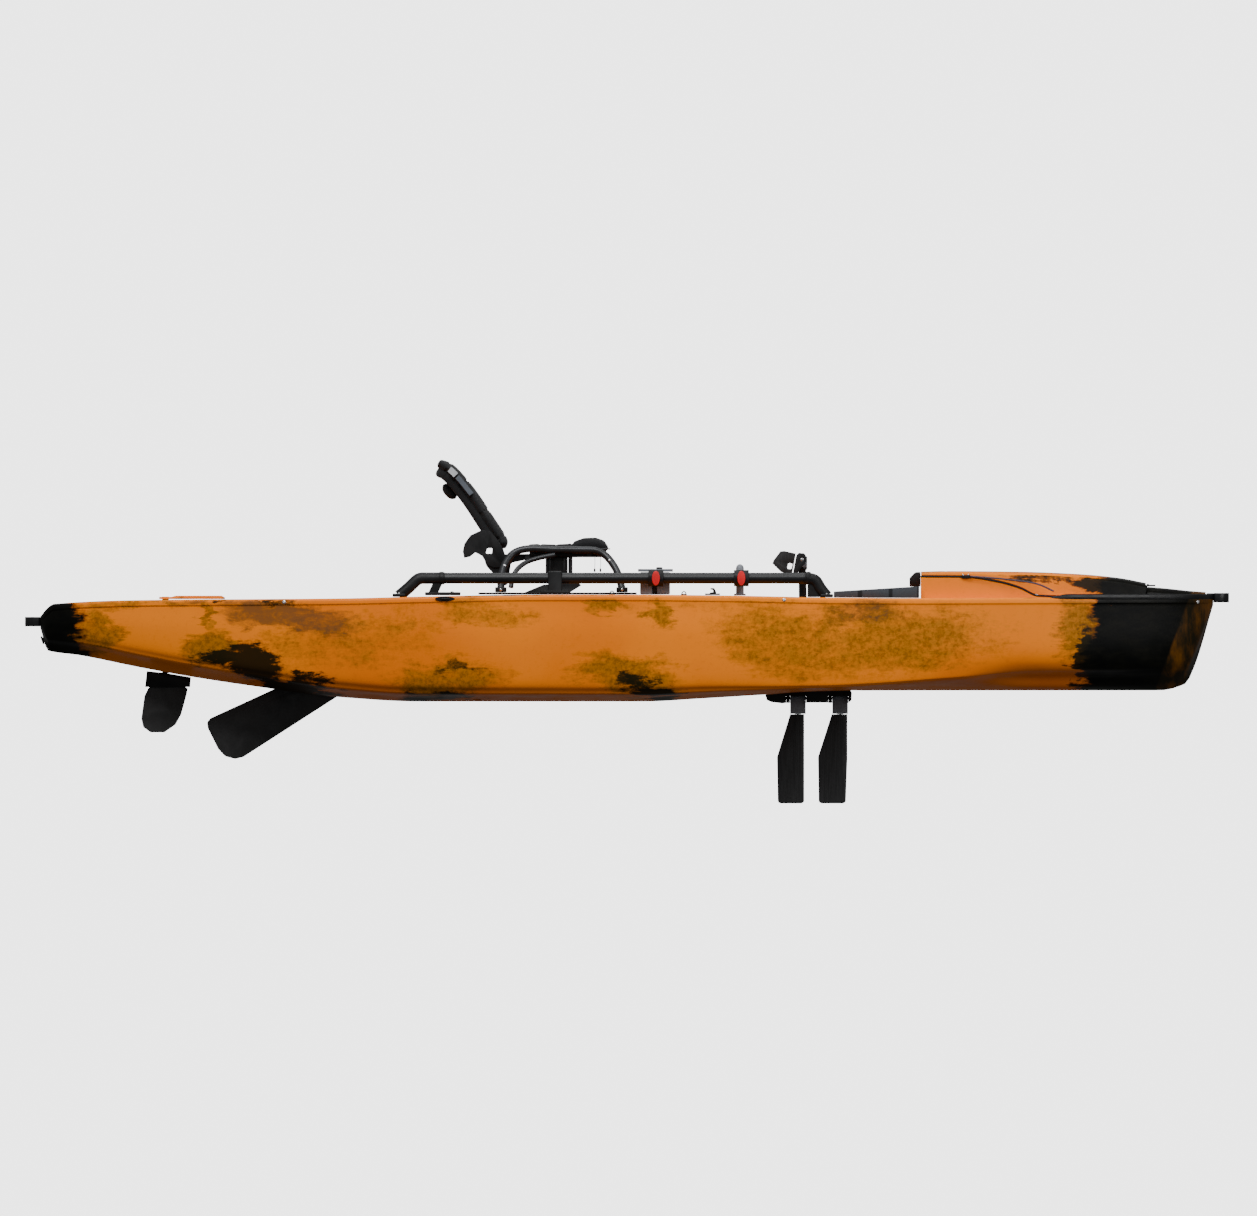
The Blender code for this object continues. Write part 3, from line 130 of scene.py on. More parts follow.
def moulded(name, base, rough=(0.40, 0.58), grain=900.0, fleck=0.25, specular=0.35, grain_strength=0.25):
    """Injection-moulded plastic: a fine spark-eroded grain, faint flow marks and slightly uneven gloss."""
    paint = Paint(name, specular=specular)
    flow = paint.noise(9.0, 5.0, 0.6, 0.6)
    fine = paint.noise(grain, 2.0, 0.5)
    lighter = tuple(c * (1.0 + 2.2 * fleck) + 0.004 for c in base)
    darker = tuple(c * (1.0 - fleck) for c in base)
    tone = paint.mix(paint.span(flow, 0.35, 0.68), darker, lighter)
    paint.colour(paint.mix(paint.span(fine, 0.42, 0.70, 0.0, 0.35), tone, lighter))
    paint.rough(paint.span(paint.noise(22.0, 4.0, 0.6), 0.3, 0.7, *rough))
    paint.bump(fine, grain_strength, 0.00025)
    paint.bump(flow, 0.05, 0.0015)
    return paint.material


def metal(name, base, rough=(0.28, 0.42), metallic=0.85, along=(2.0, 260.0, 260.0)):
    """Drawn tube: long faint die lines under an anodised skin."""
    paint = Paint(name, metallic=metallic, specular=0.5)
    lines = paint.noise(6.0, 6.0, 0.65, source=paint.stretch(along))
    cloud = paint.noise(14.0, 4.0, 0.55)
    paint.colour(paint.mix(paint.span(cloud, 0.3, 0.7), tuple(c * 0.78 for c in base), tuple(c * 1.3 for c in base)))
    paint.rough(paint.span(lines, 0.3, 0.7, *rough))
    paint.bump(lines, 0.10, 0.0004)
    return paint.material


def woven(name, warp, weft, cell=0.0022, sheen=0.25, rough=0.82, depth=0.0007):
    """A plain weave: two crossed sets of threads that pass over and under one another."""
    paint = Paint(name, roughness=rough, specular=0.25)
    split = paint.add("ShaderNodeSeparateXYZ")
    wobble = paint.noise(40.0, 3.0, 0.5)
    paint.feed(split.inputs[0], paint.place)
    turn = 2.0 * math.pi / cell
    length = paint.sums("ADD", split.outputs["X"], split.outputs["Z"])
    length = paint.sums("ADD", length, paint.sums("MULTIPLY", wobble, cell * 0.35))
    over = paint.sums("SINE", paint.sums("MULTIPLY", length, turn))
    under = paint.sums("SINE", paint.sums("MULTIPLY", split.outputs["Y"], turn))
    cross = paint.sums("MULTIPLY", over, under)
    threads = paint.span(cross, -0.6, 0.6)
    paint.colour(paint.mix(threads, warp, weft))
    paint.rough(paint.span(threads, 0.0, 1.0, rough - 0.10, rough + 0.08))
    paint.shader.inputs["Sheen Weight"].default_value = sheen
    paint.shader.inputs["Sheen Roughness"].default_value = 0.45
    ridge = paint.sums("MAXIMUM", paint.sums("ABSOLUTE", over), paint.sums("ABSOLUTE", under))
    paint.bump(ridge, 0.55, depth)
    paint.bump(paint.noise(28.0, 4.0, 0.5), 0.15, 0.002)
    return paint.material


def camo():
    """Rotomoulded polyethylene: orange with rubbed olive, brown and black pigment, and black ends."""
    paint = Paint("camo_polyethylene", specular=0.10)
    split = paint.add("ShaderNodeSeparateXYZ")
    paint.feed(split.inputs[0], paint.place)
    x, _, z = split.outputs
    smear = paint.noise(5.5, 7.0, 0.62, 0.35, colour=True)
    drag = paint.noise(3.2, 7.0, 0.66, 0.5, source=paint.stretch((2.2, 2.2, 9.0)), colour=True)
    push = paint.add("ShaderNodeVectorMath", operation="ADD")
    paint.feed(push.inputs[0], smear)
    paint.feed(push.inputs[1], drag)
    centred = paint.add("ShaderNodeVectorMath", operation="SUBTRACT")
    paint.feed(centred.inputs[0], push.outputs[0])
    centred.inputs[1].default_value = (1.0, 1.0, 1.0)
    moved = paint.add("ShaderNodeVectorMath", operation="MULTIPLY_ADD")
    paint.feed(moved.inputs[0], centred.outputs[0])
    moved.inputs[1].default_value = (0.22, 0.22, 0.13)
    paint.feed(moved.inputs[2], paint.place)
    bent = paint.add("ShaderNodeSeparateXYZ")
    paint.feed(bent.inputs[0], moved.outputs[0])
    flat = paint.add("ShaderNodeCombineXYZ")
    paint.feed(flat.inputs[0], bent.outputs[0])
    paint.feed(flat.inputs[1], bent.outputs[2])

    def blobs(rows):
        """The strongest of a few soft-edged ovals, given as centre, half sizes, turn and strength."""
        found = None
        for cx, cz, rx, rz, turn, strength in rows:
            spot = paint.add("ShaderNodeVectorMath", operation="SUBTRACT")
            paint.feed(spot.inputs[0], flat.outputs[0])
            spot.inputs[1].default_value = (cx, cz, 0.0)
            oval = paint.stretch((1.0 / rx, 1.0 / rz, 1.0), source=paint.stretch((1, 1, 1), turn=(0, 0, -turn),
                                                                                  source=spot.outputs[0]))
            far = paint.add("ShaderNodeVectorMath", operation="LENGTH")
            paint.feed(far.inputs[0], oval)
            one = paint.span(far.outputs["Value"], 1.35, 0.45, 0.0, strength)
            found = one if found is None else paint.sums("MAXIMUM", found, one)
        return found

    speck = paint.noise(60.0, 6.0, 0.75)
    rub = paint.noise(13.0, 8.0, 0.72, 0.35, source=paint.stretch((1.0, 1.0, 2.2)))
    rag = paint.sums("ADD", paint.sums("MULTIPLY", paint.sums("SUBTRACT", rub, 0.5), 1.5),
                     paint.sums("MULTIPLY", paint.sums("SUBTRACT", speck, 0.5), 0.55))
    olive = blobs([(-0.97, 0.215, 0.36, 0.10, 0.15, 0.52), (-0.62, 0.080, 0.23, 0.075, 0.05, 0.85),
                   (-0.51, 0.305, 0.19, 0.050, 0.0, 0.60), (-0.10, 0.338, 0.065, 0.030, 0.0, 0.80),
                   (0.132, 0.313, 0.055, 0.055, 0.0, 0.95), (-0.007, 0.088, 0.21, 0.078, -0.1, 0.90),
                   (0.540, 0.213, 0.27, 0.145, -0.2, 0.74), (0.700, 0.270, 0.06, 0.08, 0.0, 0.75),
                   (0.955, 0.215, 0.34, 0.125, 0.05, 0.80),
                   (1.560, 0.250, 0.095, 0.125, 0.0, 1.0), (-1.444, 0.190, 0.085, 0.075, 0.0, 0.95),
                   (-1.461, 0.300, 0.024, 0.060, 0.0, 0.80), (-1.840, 0.250, 0.07, 0.10, 0.0, 0.80),
                   (-1.70, 0.340, 0.22, 0.016, 0.0, 0.60), (0.10, 0.335, 0.30, 0.018, 0.0, 0.35)])
    dark = blobs([(-1.300, 0.135, 0.115, 0.078, -0.30, 1.05), (-1.395, 0.160, 0.09, 0.045, 0.2, 0.95),
                  (-1.17, 0.060, 0.19, 0.038, -0.2, 0.95), (0.035, 0.060, 0.070, 0.038, 0.2, 0.72),
                  (0.114, 0.030, 0.075, 0.026, 0.0, 1.0), (-0.596, 0.119, 0.130, 0.018, 0.08, 0.50),
                  (-0.66, 0.014, 0.14, 0.032, 0.0, 0.80), (1.600, 0.15, 0.055, 0.130, 0.0, 0.90),
                  (1.44, 0.430, 0.19, 0.016, 0.0, 0.72), (1.68, 0.420, 0.15, 0.030, 0.0, 1.0),
                  (-1.39, 0.357, 0.05, 0.018, 0.0, 0.7), (-1.20, 0.352, 0.09, 0.010, 0.0, 0.55)])
    brown = blobs([(-1.18, 0.295, 0.25, 0.060, -0.12, 0.90), (0.824, 0.305, 0.15, 0.050, 0.0, 0.62),
                   (-1.52, 0.352, 0.07, 0.016, 0.0, 0.7)])
    level = paint.add("ShaderNodeSeparateXYZ")
    paint.feed(level.inputs[0], paint.add("ShaderNodeTexCoord").outputs["Normal"])
    top = paint.span(level.outputs["Z"], 0.55, 0.85)
    plan = paint.noise(2.3, 7.0, 0.62, 0.9, source=paint.stretch((1.0, 1.6, 0.25), shift=(3.1, 0.4, 0.0)))
    plan_dark = paint.noise(1.7, 7.0, 0.60, 1.1, source=paint.stretch((1.0, 1.5, 0.25), shift=(-2.2, 5.7, 0.0)))

    def settle(on_side, on_top, most, low=0.06, high=1.0):
        shown = paint.add("ShaderNodeMix", data_type="FLOAT")
        paint.feed(shown.inputs[0], top)
        paint.feed(shown.inputs[2], on_side)
        paint.feed(shown.inputs[3], on_top)
        present = paint.span(shown.outputs[0], 0.02, 0.22)
        edge = paint.span(paint.sums("ADD", shown.outputs[0], rag), low, high, 0.0, most)
        return paint.sums("MULTIPLY", edge, present, clamp=True)

    wide = paint.noise(1.6, 4.0, 0.5)
    body = paint.mix(paint.span(wide, 0.35, 0.65), (0.80, 0.178, 0.0040), (0.95, 0.240, 0.0050))
    body = paint.mix(paint.span(speck, 0.50, 0.75, 0.0, 0.30), body, (0.55, 0.130, 0.003))
    olive_tone = paint.mix(paint.span(speck, 0.40, 0.62), (0.380, 0.142, 0.0060), (0.190, 0.078, 0.0045))
    body = paint.mix(settle(olive, paint.span(plan, 0.46, 0.62, 0.0, 0.9), 0.90), body, olive_tone)
    body = paint.mix(settle(brown, 0.0, 0.85), body, (0.115, 0.056, 0.022))
    body = paint.mix(settle(dark, paint.span(plan_dark, 0.54, 0.64, 0.0, 1.0), 0.98, 0.20, 0.78), body,
                     (0.0100, 0.0095, 0.0035))
    slant = paint.sums("MULTIPLY", bent.outputs[2], 0.21)
    bow = paint.span(paint.sums("SUBTRACT", bent.outputs[0], slant), 1.545, 1.585)
    stem = paint.span(paint.sums("SUBTRACT", x, paint.sums("MULTIPLY", z, 0.367)), 1.810, 1.822)
    stripe = paint.mix(paint.span(paint.noise(7.0, 6.0, 0.65, source=paint.stretch((2.0, 1.0, 0.6))), 0.42, 0.66),
                       (0.012, 0.009, 0.004), (0.120, 0.044, 0.004))
    black = paint.mix(paint.span(rub, 0.35, 0.75), (0.0016, 0.0018, 0.0016), (0.0060, 0.0056, 0.0036))
    body = paint.mix(bow, body, paint.mix(stem, black, stripe))
    aft = paint.sums("ADD", bent.outputs[0], paint.sums("MULTIPLY", bent.outputs[2], 0.286))
    body = paint.mix(paint.span(aft, -1.795, -1.835), body, black)
    paint.colour(body)
    uneven = paint.noise(11.0, 5.0, 0.6)
    paint.rough(paint.span(uneven, 0.3, 0.7, 0.30, 0.44))
    paint.bump(paint.noise(130.0, 3.0, 0.5), 0.10, 0.0008)
    paint.bump(paint.noise(4.0, 2.0, 0.4), 0.05, 0.010)
    paint.bump(paint.noise(900.0, 2.0, 0.5), 0.08, 0.0002)
    return paint.material


def foam(name, base):
    """Closed-cell deck foam, brushed, with fine machined grooves, each groove painted darker as painted shade in the
    recess.
    """
    paint = Paint(name, specular=0.2)
    cells = paint.noise(700.0, 3.0, 0.6)
    split = paint.add("ShaderNodeSeparateXYZ")
    paint.feed(split.inputs[0], paint.place)
    groove = paint.sums("SINE", paint.sums("MULTIPLY", split.outputs["Y"], 2.0 * math.pi / 0.016))
    # line marks each groove: it sinks the bump and also carries the grooves' painted shade
    line = paint.span(groove, 0.86, 0.97)
    tone = paint.mix(paint.span(cells, 0.35, 0.7), tuple(c * 0.75 for c in base), tuple(c * 1.35 for c in base))
    # painted shade: the recessed grooves are coloured at 0.30 of the foam's base colour
    paint.colour(paint.mix(line, tone, tuple(c * 0.30 for c in base)))
    paint.rough(paint.span(cells, 0.3, 0.7, 0.82, 0.95))
    paint.bump(paint.sums("SUBTRACT", 1.0, line), 0.6, 0.0012)
    paint.bump(cells, 0.3, 0.0003)
    return paint.material


def rubber(name, base, rough=(0.55, 0.72)):
    """Flexible moulding with a slight bloom and fine draw marks down its length."""
    paint = Paint(name, specular=0.35)
    marks = paint.noise(8.0, 6.0, 0.62, source=paint.stretch((30.0, 30.0, 1.2)))
    dust = paint.noise(60.0, 5.0, 0.6)
    tone = paint.mix(paint.span(marks, 0.35, 0.7), tuple(c * 0.7 for c in base), tuple(c * 1.5 + 0.002 for c in base))
    paint.colour(paint.mix(paint.span(dust, 0.55, 0.8, 0.0, 0.25), tone, tuple(c * 2.4 + 0.006 for c in base)))
    paint.rough(paint.span(dust, 0.3, 0.7, *rough))
    paint.bump(marks, 0.12, 0.0008)
    paint.bump(paint.noise(800.0, 2.0, 0.5), 0.15, 0.0002)
    return paint.material


def braid(name, base, fleck):
    """A braided cord jacket."""
    paint = Paint(name, roughness=0.8, specular=0.25)
    plait = paint.add("ShaderNodeTexVoronoi", feature="F1")
    paint.feed(plait.inputs["Vector"], paint.stretch((420.0, 900.0, 900.0), turn=(0, 0.5, 0)))
    share = paint.span(plait.outputs["Distance"], 0.15, 0.65)
    paint.colour(paint.mix(share, fleck, base))
    paint.rough(paint.span(share, 0.0, 1.0, 0.7, 0.9))
    paint.bump(plait.outputs["Distance"], 0.6, 0.0006)
    return paint.material


CAMO = camo()
BLACK = moulded("black_moulded", (0.0060, 0.0062, 0.0068), specular=0.22)
BLACK_SATIN = moulded("black_satin", (0.0045, 0.0047, 0.0052), rough=(0.28, 0.42), fleck=0.2, specular=0.28,
                      grain_strength=0.12)
BLADE = moulded("black_blade", (0.0200, 0.0195, 0.0200), rough=(0.38, 0.55), specular=0.4)
GREY = moulded("grey_moulded", (0.150, 0.160, 0.178), fleck=0.12)
PALE_GREY = moulded("pale_grey_moulded", (0.36, 0.37, 0.39), fleck=0.10)
SLATE_GREY = moulded("slate_grey_moulded", (0.060, 0.070, 0.085), fleck=0.15)
RED = moulded("red_moulded", (0.62, 0.012, 0.016), rough=(0.20, 0.32), grain=500.0, fleck=0.10, specular=0.5,
              grain_strength=0.08)
RAIL_METAL = metal("slate_anodised", (0.0046, 0.0056, 0.0066), rough=(0.38, 0.50), metallic=0.20)
SEAT_METAL = metal("graphite_anodised", (0.020, 0.021, 0.023), rough=(0.32, 0.45), metallic=0.45,
                   along=(120.0, 120.0, 120.0))
STEEL = metal("stainless_steel", (0.60, 0.60, 0.61), rough=(0.18, 0.34), metallic=1.0, along=(160.0, 160.0, 4.0))
FABRIC = woven("seat_weave", (0.0040, 0.0040, 0.0045), (0.016, 0.0165, 0.018), sheen=0.06)
MESH_FABRIC = woven("spacer_mesh", (0.0025, 0.0025, 0.0028), (0.020, 0.021, 0.023), cell=0.0040, sheen=0.06,
                    depth=0.0014)
PIPING = woven("piping_weave", (0.016, 0.016, 0.018), (0.045, 0.047, 0.052), cell=0.0016)
FOAM = foam("deck_foam_grey", (0.052, 0.058, 0.068))
RUBBER = rubber("black_rubber_fin", (0.0190, 0.0190, 0.0200))
TRIM_RUBBER = rubber("black_rubber_trim", (0.0085, 0.0085, 0.0090), rough=(0.42, 0.6))
CORD = braid("shock_cord", (0.030, 0.028, 0.036), (0.20, 0.17, 0.22))


# ---------------------------------------------------------------- the view, in metres
VIEW_WIDTH = 4.353
VIEW_CENTRE = (0.0052, 0.3238)
VIEW_DISTANCE = 9.0
STUDIO_FLOOR_Z = -0.3545


# ---------------------------------------------------------------- dimensions repeated from the CAD source, in metres
GAP = 0.0004
BOW_X, STERN_X = 2.030, -2.032
KEEL = [
    (STERN_X, 0.256), (-2.005, 0.176), (-1.894, 0.160), (-1.686, 0.118), (-1.479, 0.081),
    (-1.271, 0.050), (-0.994, 0.015), (-0.72, 0.0), (0.06, 0.0), (0.253, 0.010), (0.46, 0.0225),
    (0.668, 0.034), (0.85, 0.0380), (1.846, 0.0385), (1.933, 0.061), (1.965, 0.121), (BOW_X, 0.334),
]
SHEER = [
    (STERN_X, 0.294), (-2.005, 0.326), (-1.985, 0.338), (-1.70, 0.351), (-1.0, 0.357), (-0.70, 0.3636),
    (-0.30, 0.3702), (0.0, 0.3702), (0.35, 0.367), (0.70, 0.360), (1.0, 0.358), (1.5, 0.360), (BOW_X, 0.361),
]
HALF_BEAM = [
    (STERN_X, 0.075), (-2.005, 0.110), (-1.80, 0.192), (-1.40, 0.325), (-0.90, 0.440), (-0.35, 0.479),
    (0.10, 0.4825), (0.55, 0.468), (1.0, 0.410), (1.40, 0.320), (1.75, 0.215), (1.915, 0.148),
    (1.985, 0.100), (BOW_X, 0.034),
]
SECTION_X = (STERN_X, -1.5, -0.7, 0.2, 0.7, 1.15, 1.40, 1.65, 1.9, BOW_X)
SECTION = [
    [(0.42, 0.0), (0.34, 0.0), (0.30, 0.0), (0.30, 0.0), (0.26, 0.0), (0.18, 0.0), (0.22, 0.0), (0.26, 0.0),
     (0.25, 0.0), (0.20, 0.0)],
    [(0.63, 0.165), (0.59, 0.088), (0.57, 0.041), (0.57, 0.036), (0.60, 0.014), (0.50, 0.055), (0.40, 0.045),
     (0.43, 0.05), (0.45, 0.07), (0.52, 0.165)],
    [(0.84, 0.255), (0.84, 0.136), (0.84, 0.064), (0.85, 0.058), (0.86, 0.034), (0.80, 0.105), (0.50, 0.140),
     (0.54, 0.14), (0.66, 0.15), (0.84, 0.255)],
    [(0.90, 0.320), (0.90, 0.190), (0.90, 0.105), (0.905, 0.095), (0.925, 0.055), (0.90, 0.135), (0.68, 0.185),
     (0.71, 0.19), (0.80, 0.22), (0.90, 0.320)],
    [(0.95, 0.430), (0.95, 0.295), (0.95, 0.210), (0.95, 0.190), (0.95, 0.110), (0.935, 0.180), (0.87, 0.240),
     (0.88, 0.25), (0.90, 0.32), (0.95, 0.430)],
    [(0.99, 0.62), (0.99, 0.62), (0.99, 0.62), (0.99, 0.60), (0.982, 0.40), (0.975, 0.42), (0.965, 0.42),
     (0.965, 0.45), (0.97, 0.55), (0.99, 0.62)],
]
FLOOR_Z = 0.115
COCKPIT, COCKPIT_HALF = (-0.60, 0.93), 0.300
REAR_WELL, REAR_WELL_Z, REAR_WELL_MARGIN = (-1.50, -0.68), 0.262, 0.105
BIN = (0.055, 0.315, 0.105, 0.030)
HATCH, HATCH_MARGIN, SEAL = (1.018, 1.797), 0.050, 0.006
HATCH_TOP = [(1.018, 0.4455), (1.10, 0.4475), (1.35, 0.4455), (1.55, 0.4380), (1.70, 0.4245), (1.797, 0.4065)]
HATCH_SEAM = [(1.018, 0.4370), (1.17, 0.4360), (1.28, 0.420), (1.36, 0.398), (1.425, 0.3695), (1.50, 0.3670),
              (1.797, 0.3676)]
NOSE_DECK = [(1.803, 0.398), (1.87, 0.3925), (1.95, 0.384), (2.016, 0.379)]
HATCH_HOLE = (1.12, 1.735)
DRIVE_X = 0.650
POD_RECESS_R, POD_RECESS_Z = 0.197, 0.054
DRIVE_WELL, DRIVE_WELL_HALF = (0.500, 0.790), 0.060
PEDAL, CRANK_Y, PEDAL_Y = (0.606, 0.492), 0.078, 0.155
SWING_Z = 0.0115
RAIL_Y, RAIL_Z, RAIL_R, RAIL_END_R = 0.418, 0.4272, 0.0190, 0.0203
RAIL = (-0.630, 0.616)
RAIL_RUNS = {"aft": (0.096, 0.160), "fwd": (0.032, 0.076)}
RAIL_FOOT = 0.018
SKEG_X = -0.985
SLOT_HALF = 0.009
SLOT_TOP = [(-1.015, 0.186), (-1.535, 0.250)]
RUDDER_X = -1.598
SEAT_TOP_Y, SEAT_FOOT_Y, SEAT_R = 0.250, 0.322, 0.0125
HOOP = [
    (-0.437, 0.390), (-0.434, 0.438), (-0.421, 0.479), (-0.391, 0.515), (-0.339, 0.5295), (-0.250, 0.5265),
    (-0.160, 0.5255), (-0.106, 0.5225), (-0.0715, 0.503), (-0.045, 0.4695), (-0.029, 0.436), (-0.017, 0.390),
]
BACK_FRONT = [
    (-0.409, 0.528), (-0.4173, 0.565), (-0.463, 0.6365), (-0.524, 0.7285), (-0.5940, 0.8110), (-0.6480, 0.8435),
]
BACK_PAD_THICK = 0.037
CORD_ROUTE = [(1.1895, -0.3350, 0.4335), (1.300, -0.3240, 0.4245), (1.413, -0.3110, 0.4090), (1.478, -0.3005, 0.3820)]
CORD_R = 0.0030
FIN_EDGES = {
    "aft": (0.6135, 0.6135, 0.5650, 0.5195, 0.5225),
    "fwd": (0.7630, 0.7575, 0.7090, 0.6615, 0.6640),
}
FIN_TOP, FIN_TIP = -0.0440, -0.3530
MASTS = {"fwd": 0.738, "aft": 0.592}


# ---------------------------------------------------------------- curves and meshes
def smooth(points):
    """A function through (x, value) points that bends smoothly and never overshoots them."""
    xs, ys = zip(*points)
    slopes = [(b - a) / (q - p) for a, b, p, q in zip(ys, ys[1:], xs, xs[1:])]
    tangents = [slopes[0]]
    for left, right in zip(slopes, slopes[1:]):
        tangents.append(0.0 if left * right <= 0 else 2 * left * right / (left + right))
    tangents.append(slopes[-1])

    def value(x):
        x = min(max(x, xs[0]), xs[-1])
        i = max(k for k in range(len(xs) - 1) if xs[k] <= x or k == 0)
        step = xs[i + 1] - xs[i]
        t = (x - xs[i]) / step
        keep, turn = (1 + 2 * t) * (1 - t) ** 2, t * (1 - t) ** 2 * step
        arrive, leave = t * t * (3 - 2 * t), t * t * (t - 1) * step
        return keep * ys[i] + turn * tangents[i] + arrive * ys[i + 1] + leave * tangents[i + 1]

    return value


keel, sheer, half_beam = smooth(KEEL), smooth(SHEER), smooth(HALF_BEAM)
section = [tuple(smooth(list(zip(SECTION_X, values))) for values in zip(*row)) for row in SECTION]
hatch_top, hatch_seam, nose_deck = smooth(HATCH_TOP), smooth(HATCH_SEAM), smooth(NOSE_DECK)


def blend_line(points, per_step, closed=False):
    """A Catmull-Rom curve through points, with per_step steps between each two."""
    points = [Vector(p) for p in points]
    count = len(points)
    made = []
    for i in range(count if closed else count - 1):
        if closed:
            a, b, c, d = (points[(i + k) % count] for k in (-1, 0, 1, 2))
        else:
            b, c = points[i], points[i + 1]
            a = points[i - 1] if i else b * 2 - c
            d = points[i + 2] if i + 2 < count else c * 2 - b
        for k in range(per_step):
            t = k / per_step
            made.append(0.5 * ((2 * b) + (c - a) * t + (2 * a - 5 * b + 4 * c - d) * t * t
                               + (3 * b - a - 3 * c + d) * t ** 3))
    if not closed:
        made.append(points[-1])
    return made


def bend_through(points, count):
    """A smooth route through a few points, as count evenly numbered points."""
    points = [Vector(p) for p in points]
    ends = [points[0] * 2 - points[1]] + points + [points[-1] * 2 - points[-2]]
    route = []
    for k in range(count):
        t = k / (count - 1) * (len(points) - 1)
        i = min(int(t), len(points) - 2)
        t -= i
        a, b, c, d = ends[i:i + 4]
        route.append(0.5 * ((2 * b) + (c - a) * t + (2 * a - 5 * b + 4 * c - d) * t * t
                            + (3 * b - a - 3 * c + d) * t ** 3))
    return route


def place(name, mesh, paint, degrees=35):
    """An object with this mesh, shaded smooth but for edges sharper than degrees."""
    made = bpy.data.objects.new(name, mesh)
    if paint:
        mesh.materials.append(paint)
    bpy.context.scene.collection.objects.link(made)
    if degrees:
        mesh.shade_smooth()
        mesh.set_sharp_from_angle(angle=math.radians(degrees))
    return made


def from_bmesh(name, shape, paint, degrees=35):
    bmesh.ops.remove_doubles(shape, verts=shape.verts, dist=1e-6)
    bmesh.ops.recalc_face_normals(shape, faces=shape.faces)
    mesh = bpy.data.meshes.new(name)
    shape.to_mesh(mesh)
    shape.free()
    return place(name, mesh, paint, degrees)


def loft(name, rings, paint, degrees=35, closed=False):
    """A skin over rings that all have the same number of points, capped at both ends or closed on itself."""
    shape = bmesh.new()
    loops = [[shape.verts.new(p) for p in ring] for ring in rings]
    pairs = list(zip(loops, loops[1:]))
    if closed:
        pairs.append((loops[-1], loops[0]))
    for a, b in pairs:
        for i in range(len(a)):
            j = (i + 1) % len(a)
            shape.faces.new((a[i], a[j], b[j], b[i]))
    if not closed:
        shape.faces.new(loops[0])
        shape.faces.new(loops[-1])
    return from_bmesh(name, shape, paint, degrees)


def turns(count):
    """Angles that go once round, in count equal steps."""
    return [2 * math.pi * k / count for k in range(count)]


def tube_rings(points, radius, count, flat=1.0):
    """Circles along a route, without twist. flat squeezes them along one way across."""
    points = [Vector(p) for p in points]
    across = (points[1] - points[0]).normalized().orthogonal().normalized()
    rings = []
    for k, point in enumerate(points):
        ahead = (points[min(k + 1, len(points) - 1)] - points[max(k - 1, 0)]).normalized()
        across = (across - across.dot(ahead) * ahead).normalized()
        up = ahead.cross(across)
        steps = [2 * math.pi * (j + 0.5) / count for j in range(count)]
        rings.append([point + radius * (math.cos(a) * across + flat * math.sin(a) * up) for a in steps])
    return rings


def tube(name, points, radius, paint, count=20, flat=1.0):
    return loft(name, tube_rings(points, radius, count, flat), paint, 50)


def turned(name, centre, axis, profile, paint, count=32, degrees=35):
    """A solid of revolution: profile holds (distance along the axis, radius)."""
    axis = Vector(axis).normalized()
    across = axis.orthogonal().normalized()
    up = axis.cross(across)
    rings = []
    for along, radius in profile:
        middle = Vector(centre) + axis * along
        rings.append([middle + radius * (math.cos(a) * across + math.sin(a) * up)
                      for a in turns(count)])
    return loft(name, rings, paint, degrees)


def rounded(outline, radius, steps=5):
    """The outline's corners replaced with short curves."""
    made = []
    for before, here, after in zip(outline[-1:] + outline[:-1], outline, outline[1:] + outline[:1]):
        here, back, ahead = Vector(here), Vector(before) - Vector(here), Vector(after) - Vector(here)
        cut = min(radius, 0.45 * back.length, 0.45 * ahead.length)
        a, b = here + back.normalized() * cut, here + ahead.normalized() * cut
        for k in range(steps + 1):
            t = k / steps
            made.append(tuple((1 - t) ** 2 * a + 2 * t * (1 - t) * here + t * t * b))
    return made


def prism(name, outline, axis, low, high, paint, degrees=35):
    """An outline of (first, second) coordinates, extruded along the remaining axis from low to high."""
    order = {"x": (1, 2, 0), "y": (0, 2, 1), "z": (0, 1, 2)}[axis]
    rings = []
    for level in (low, high):
        loop = []
        for first, second in outline:
            point = [0.0, 0.0, 0.0]
            point[order[0]], point[order[1]], point[order[2]] = first, second, level
            loop.append(Vector(point))
        rings.append(loop)
    return loft(name, rings, paint, degrees)


def block(name, low, high, paint, edge=0.002, segments=3):
    """A box with rounded edges."""
    shape = bmesh.new()
    bmesh.ops.create_cube(shape, size=1.0)
    low, high = Vector(low), Vector(high)
    for v in shape.verts:
        v.co = Vector((low[k] + (v.co[k] + 0.5) * (high[k] - low[k]) for k in range(3)))
    bmesh.ops.bevel(shape, geom=shape.edges[:], offset=edge, segments=segments, affect="EDGES", profile=0.5)
    return from_bmesh(name, shape, paint, 30)


def soften(piece, width, segments=3, degrees=32):
    """Rounds a piece's hard edges with a bevel that keeps its flats flat."""
    weld = piece.modifiers.new("weld", "WELD")
    weld.merge_threshold = 1e-5
    bevel = piece.modifiers.new("soften", "BEVEL")
    bevel.width = width
    bevel.segments = segments
    bevel.limit_method = "ANGLE"
    bevel.angle_limit = math.radians(degrees)
    bevel.use_clamp_overlap = True
    bevel.harden_normals = True
    bevel.miter_outer = "MITER_ARC"
    return piece


def apply_modifiers(piece):
    """The piece's mesh as its modifiers leave it, with none left on it."""
    graph = bpy.context.evaluated_depsgraph_get()
    mesh = bpy.data.meshes.new_from_object(piece.evaluated_get(graph))
    old = piece.data
    piece.modifiers.clear()
    piece.data = mesh
    bpy.data.meshes.remove(old)
    return piece


def carve(target, cutters, operation="DIFFERENCE"):
    """Cuts the cutters out of the target, or joins them to it, and removes them."""
    for cutter in cutters:
        step = target.modifiers.new(cutter.name, "BOOLEAN")
        step.operation = operation
        step.solver = "EXACT"
        step.object = cutter
    apply_modifiers(target)
    for cutter in cutters:
        bpy.data.objects.remove(cutter)
    return target


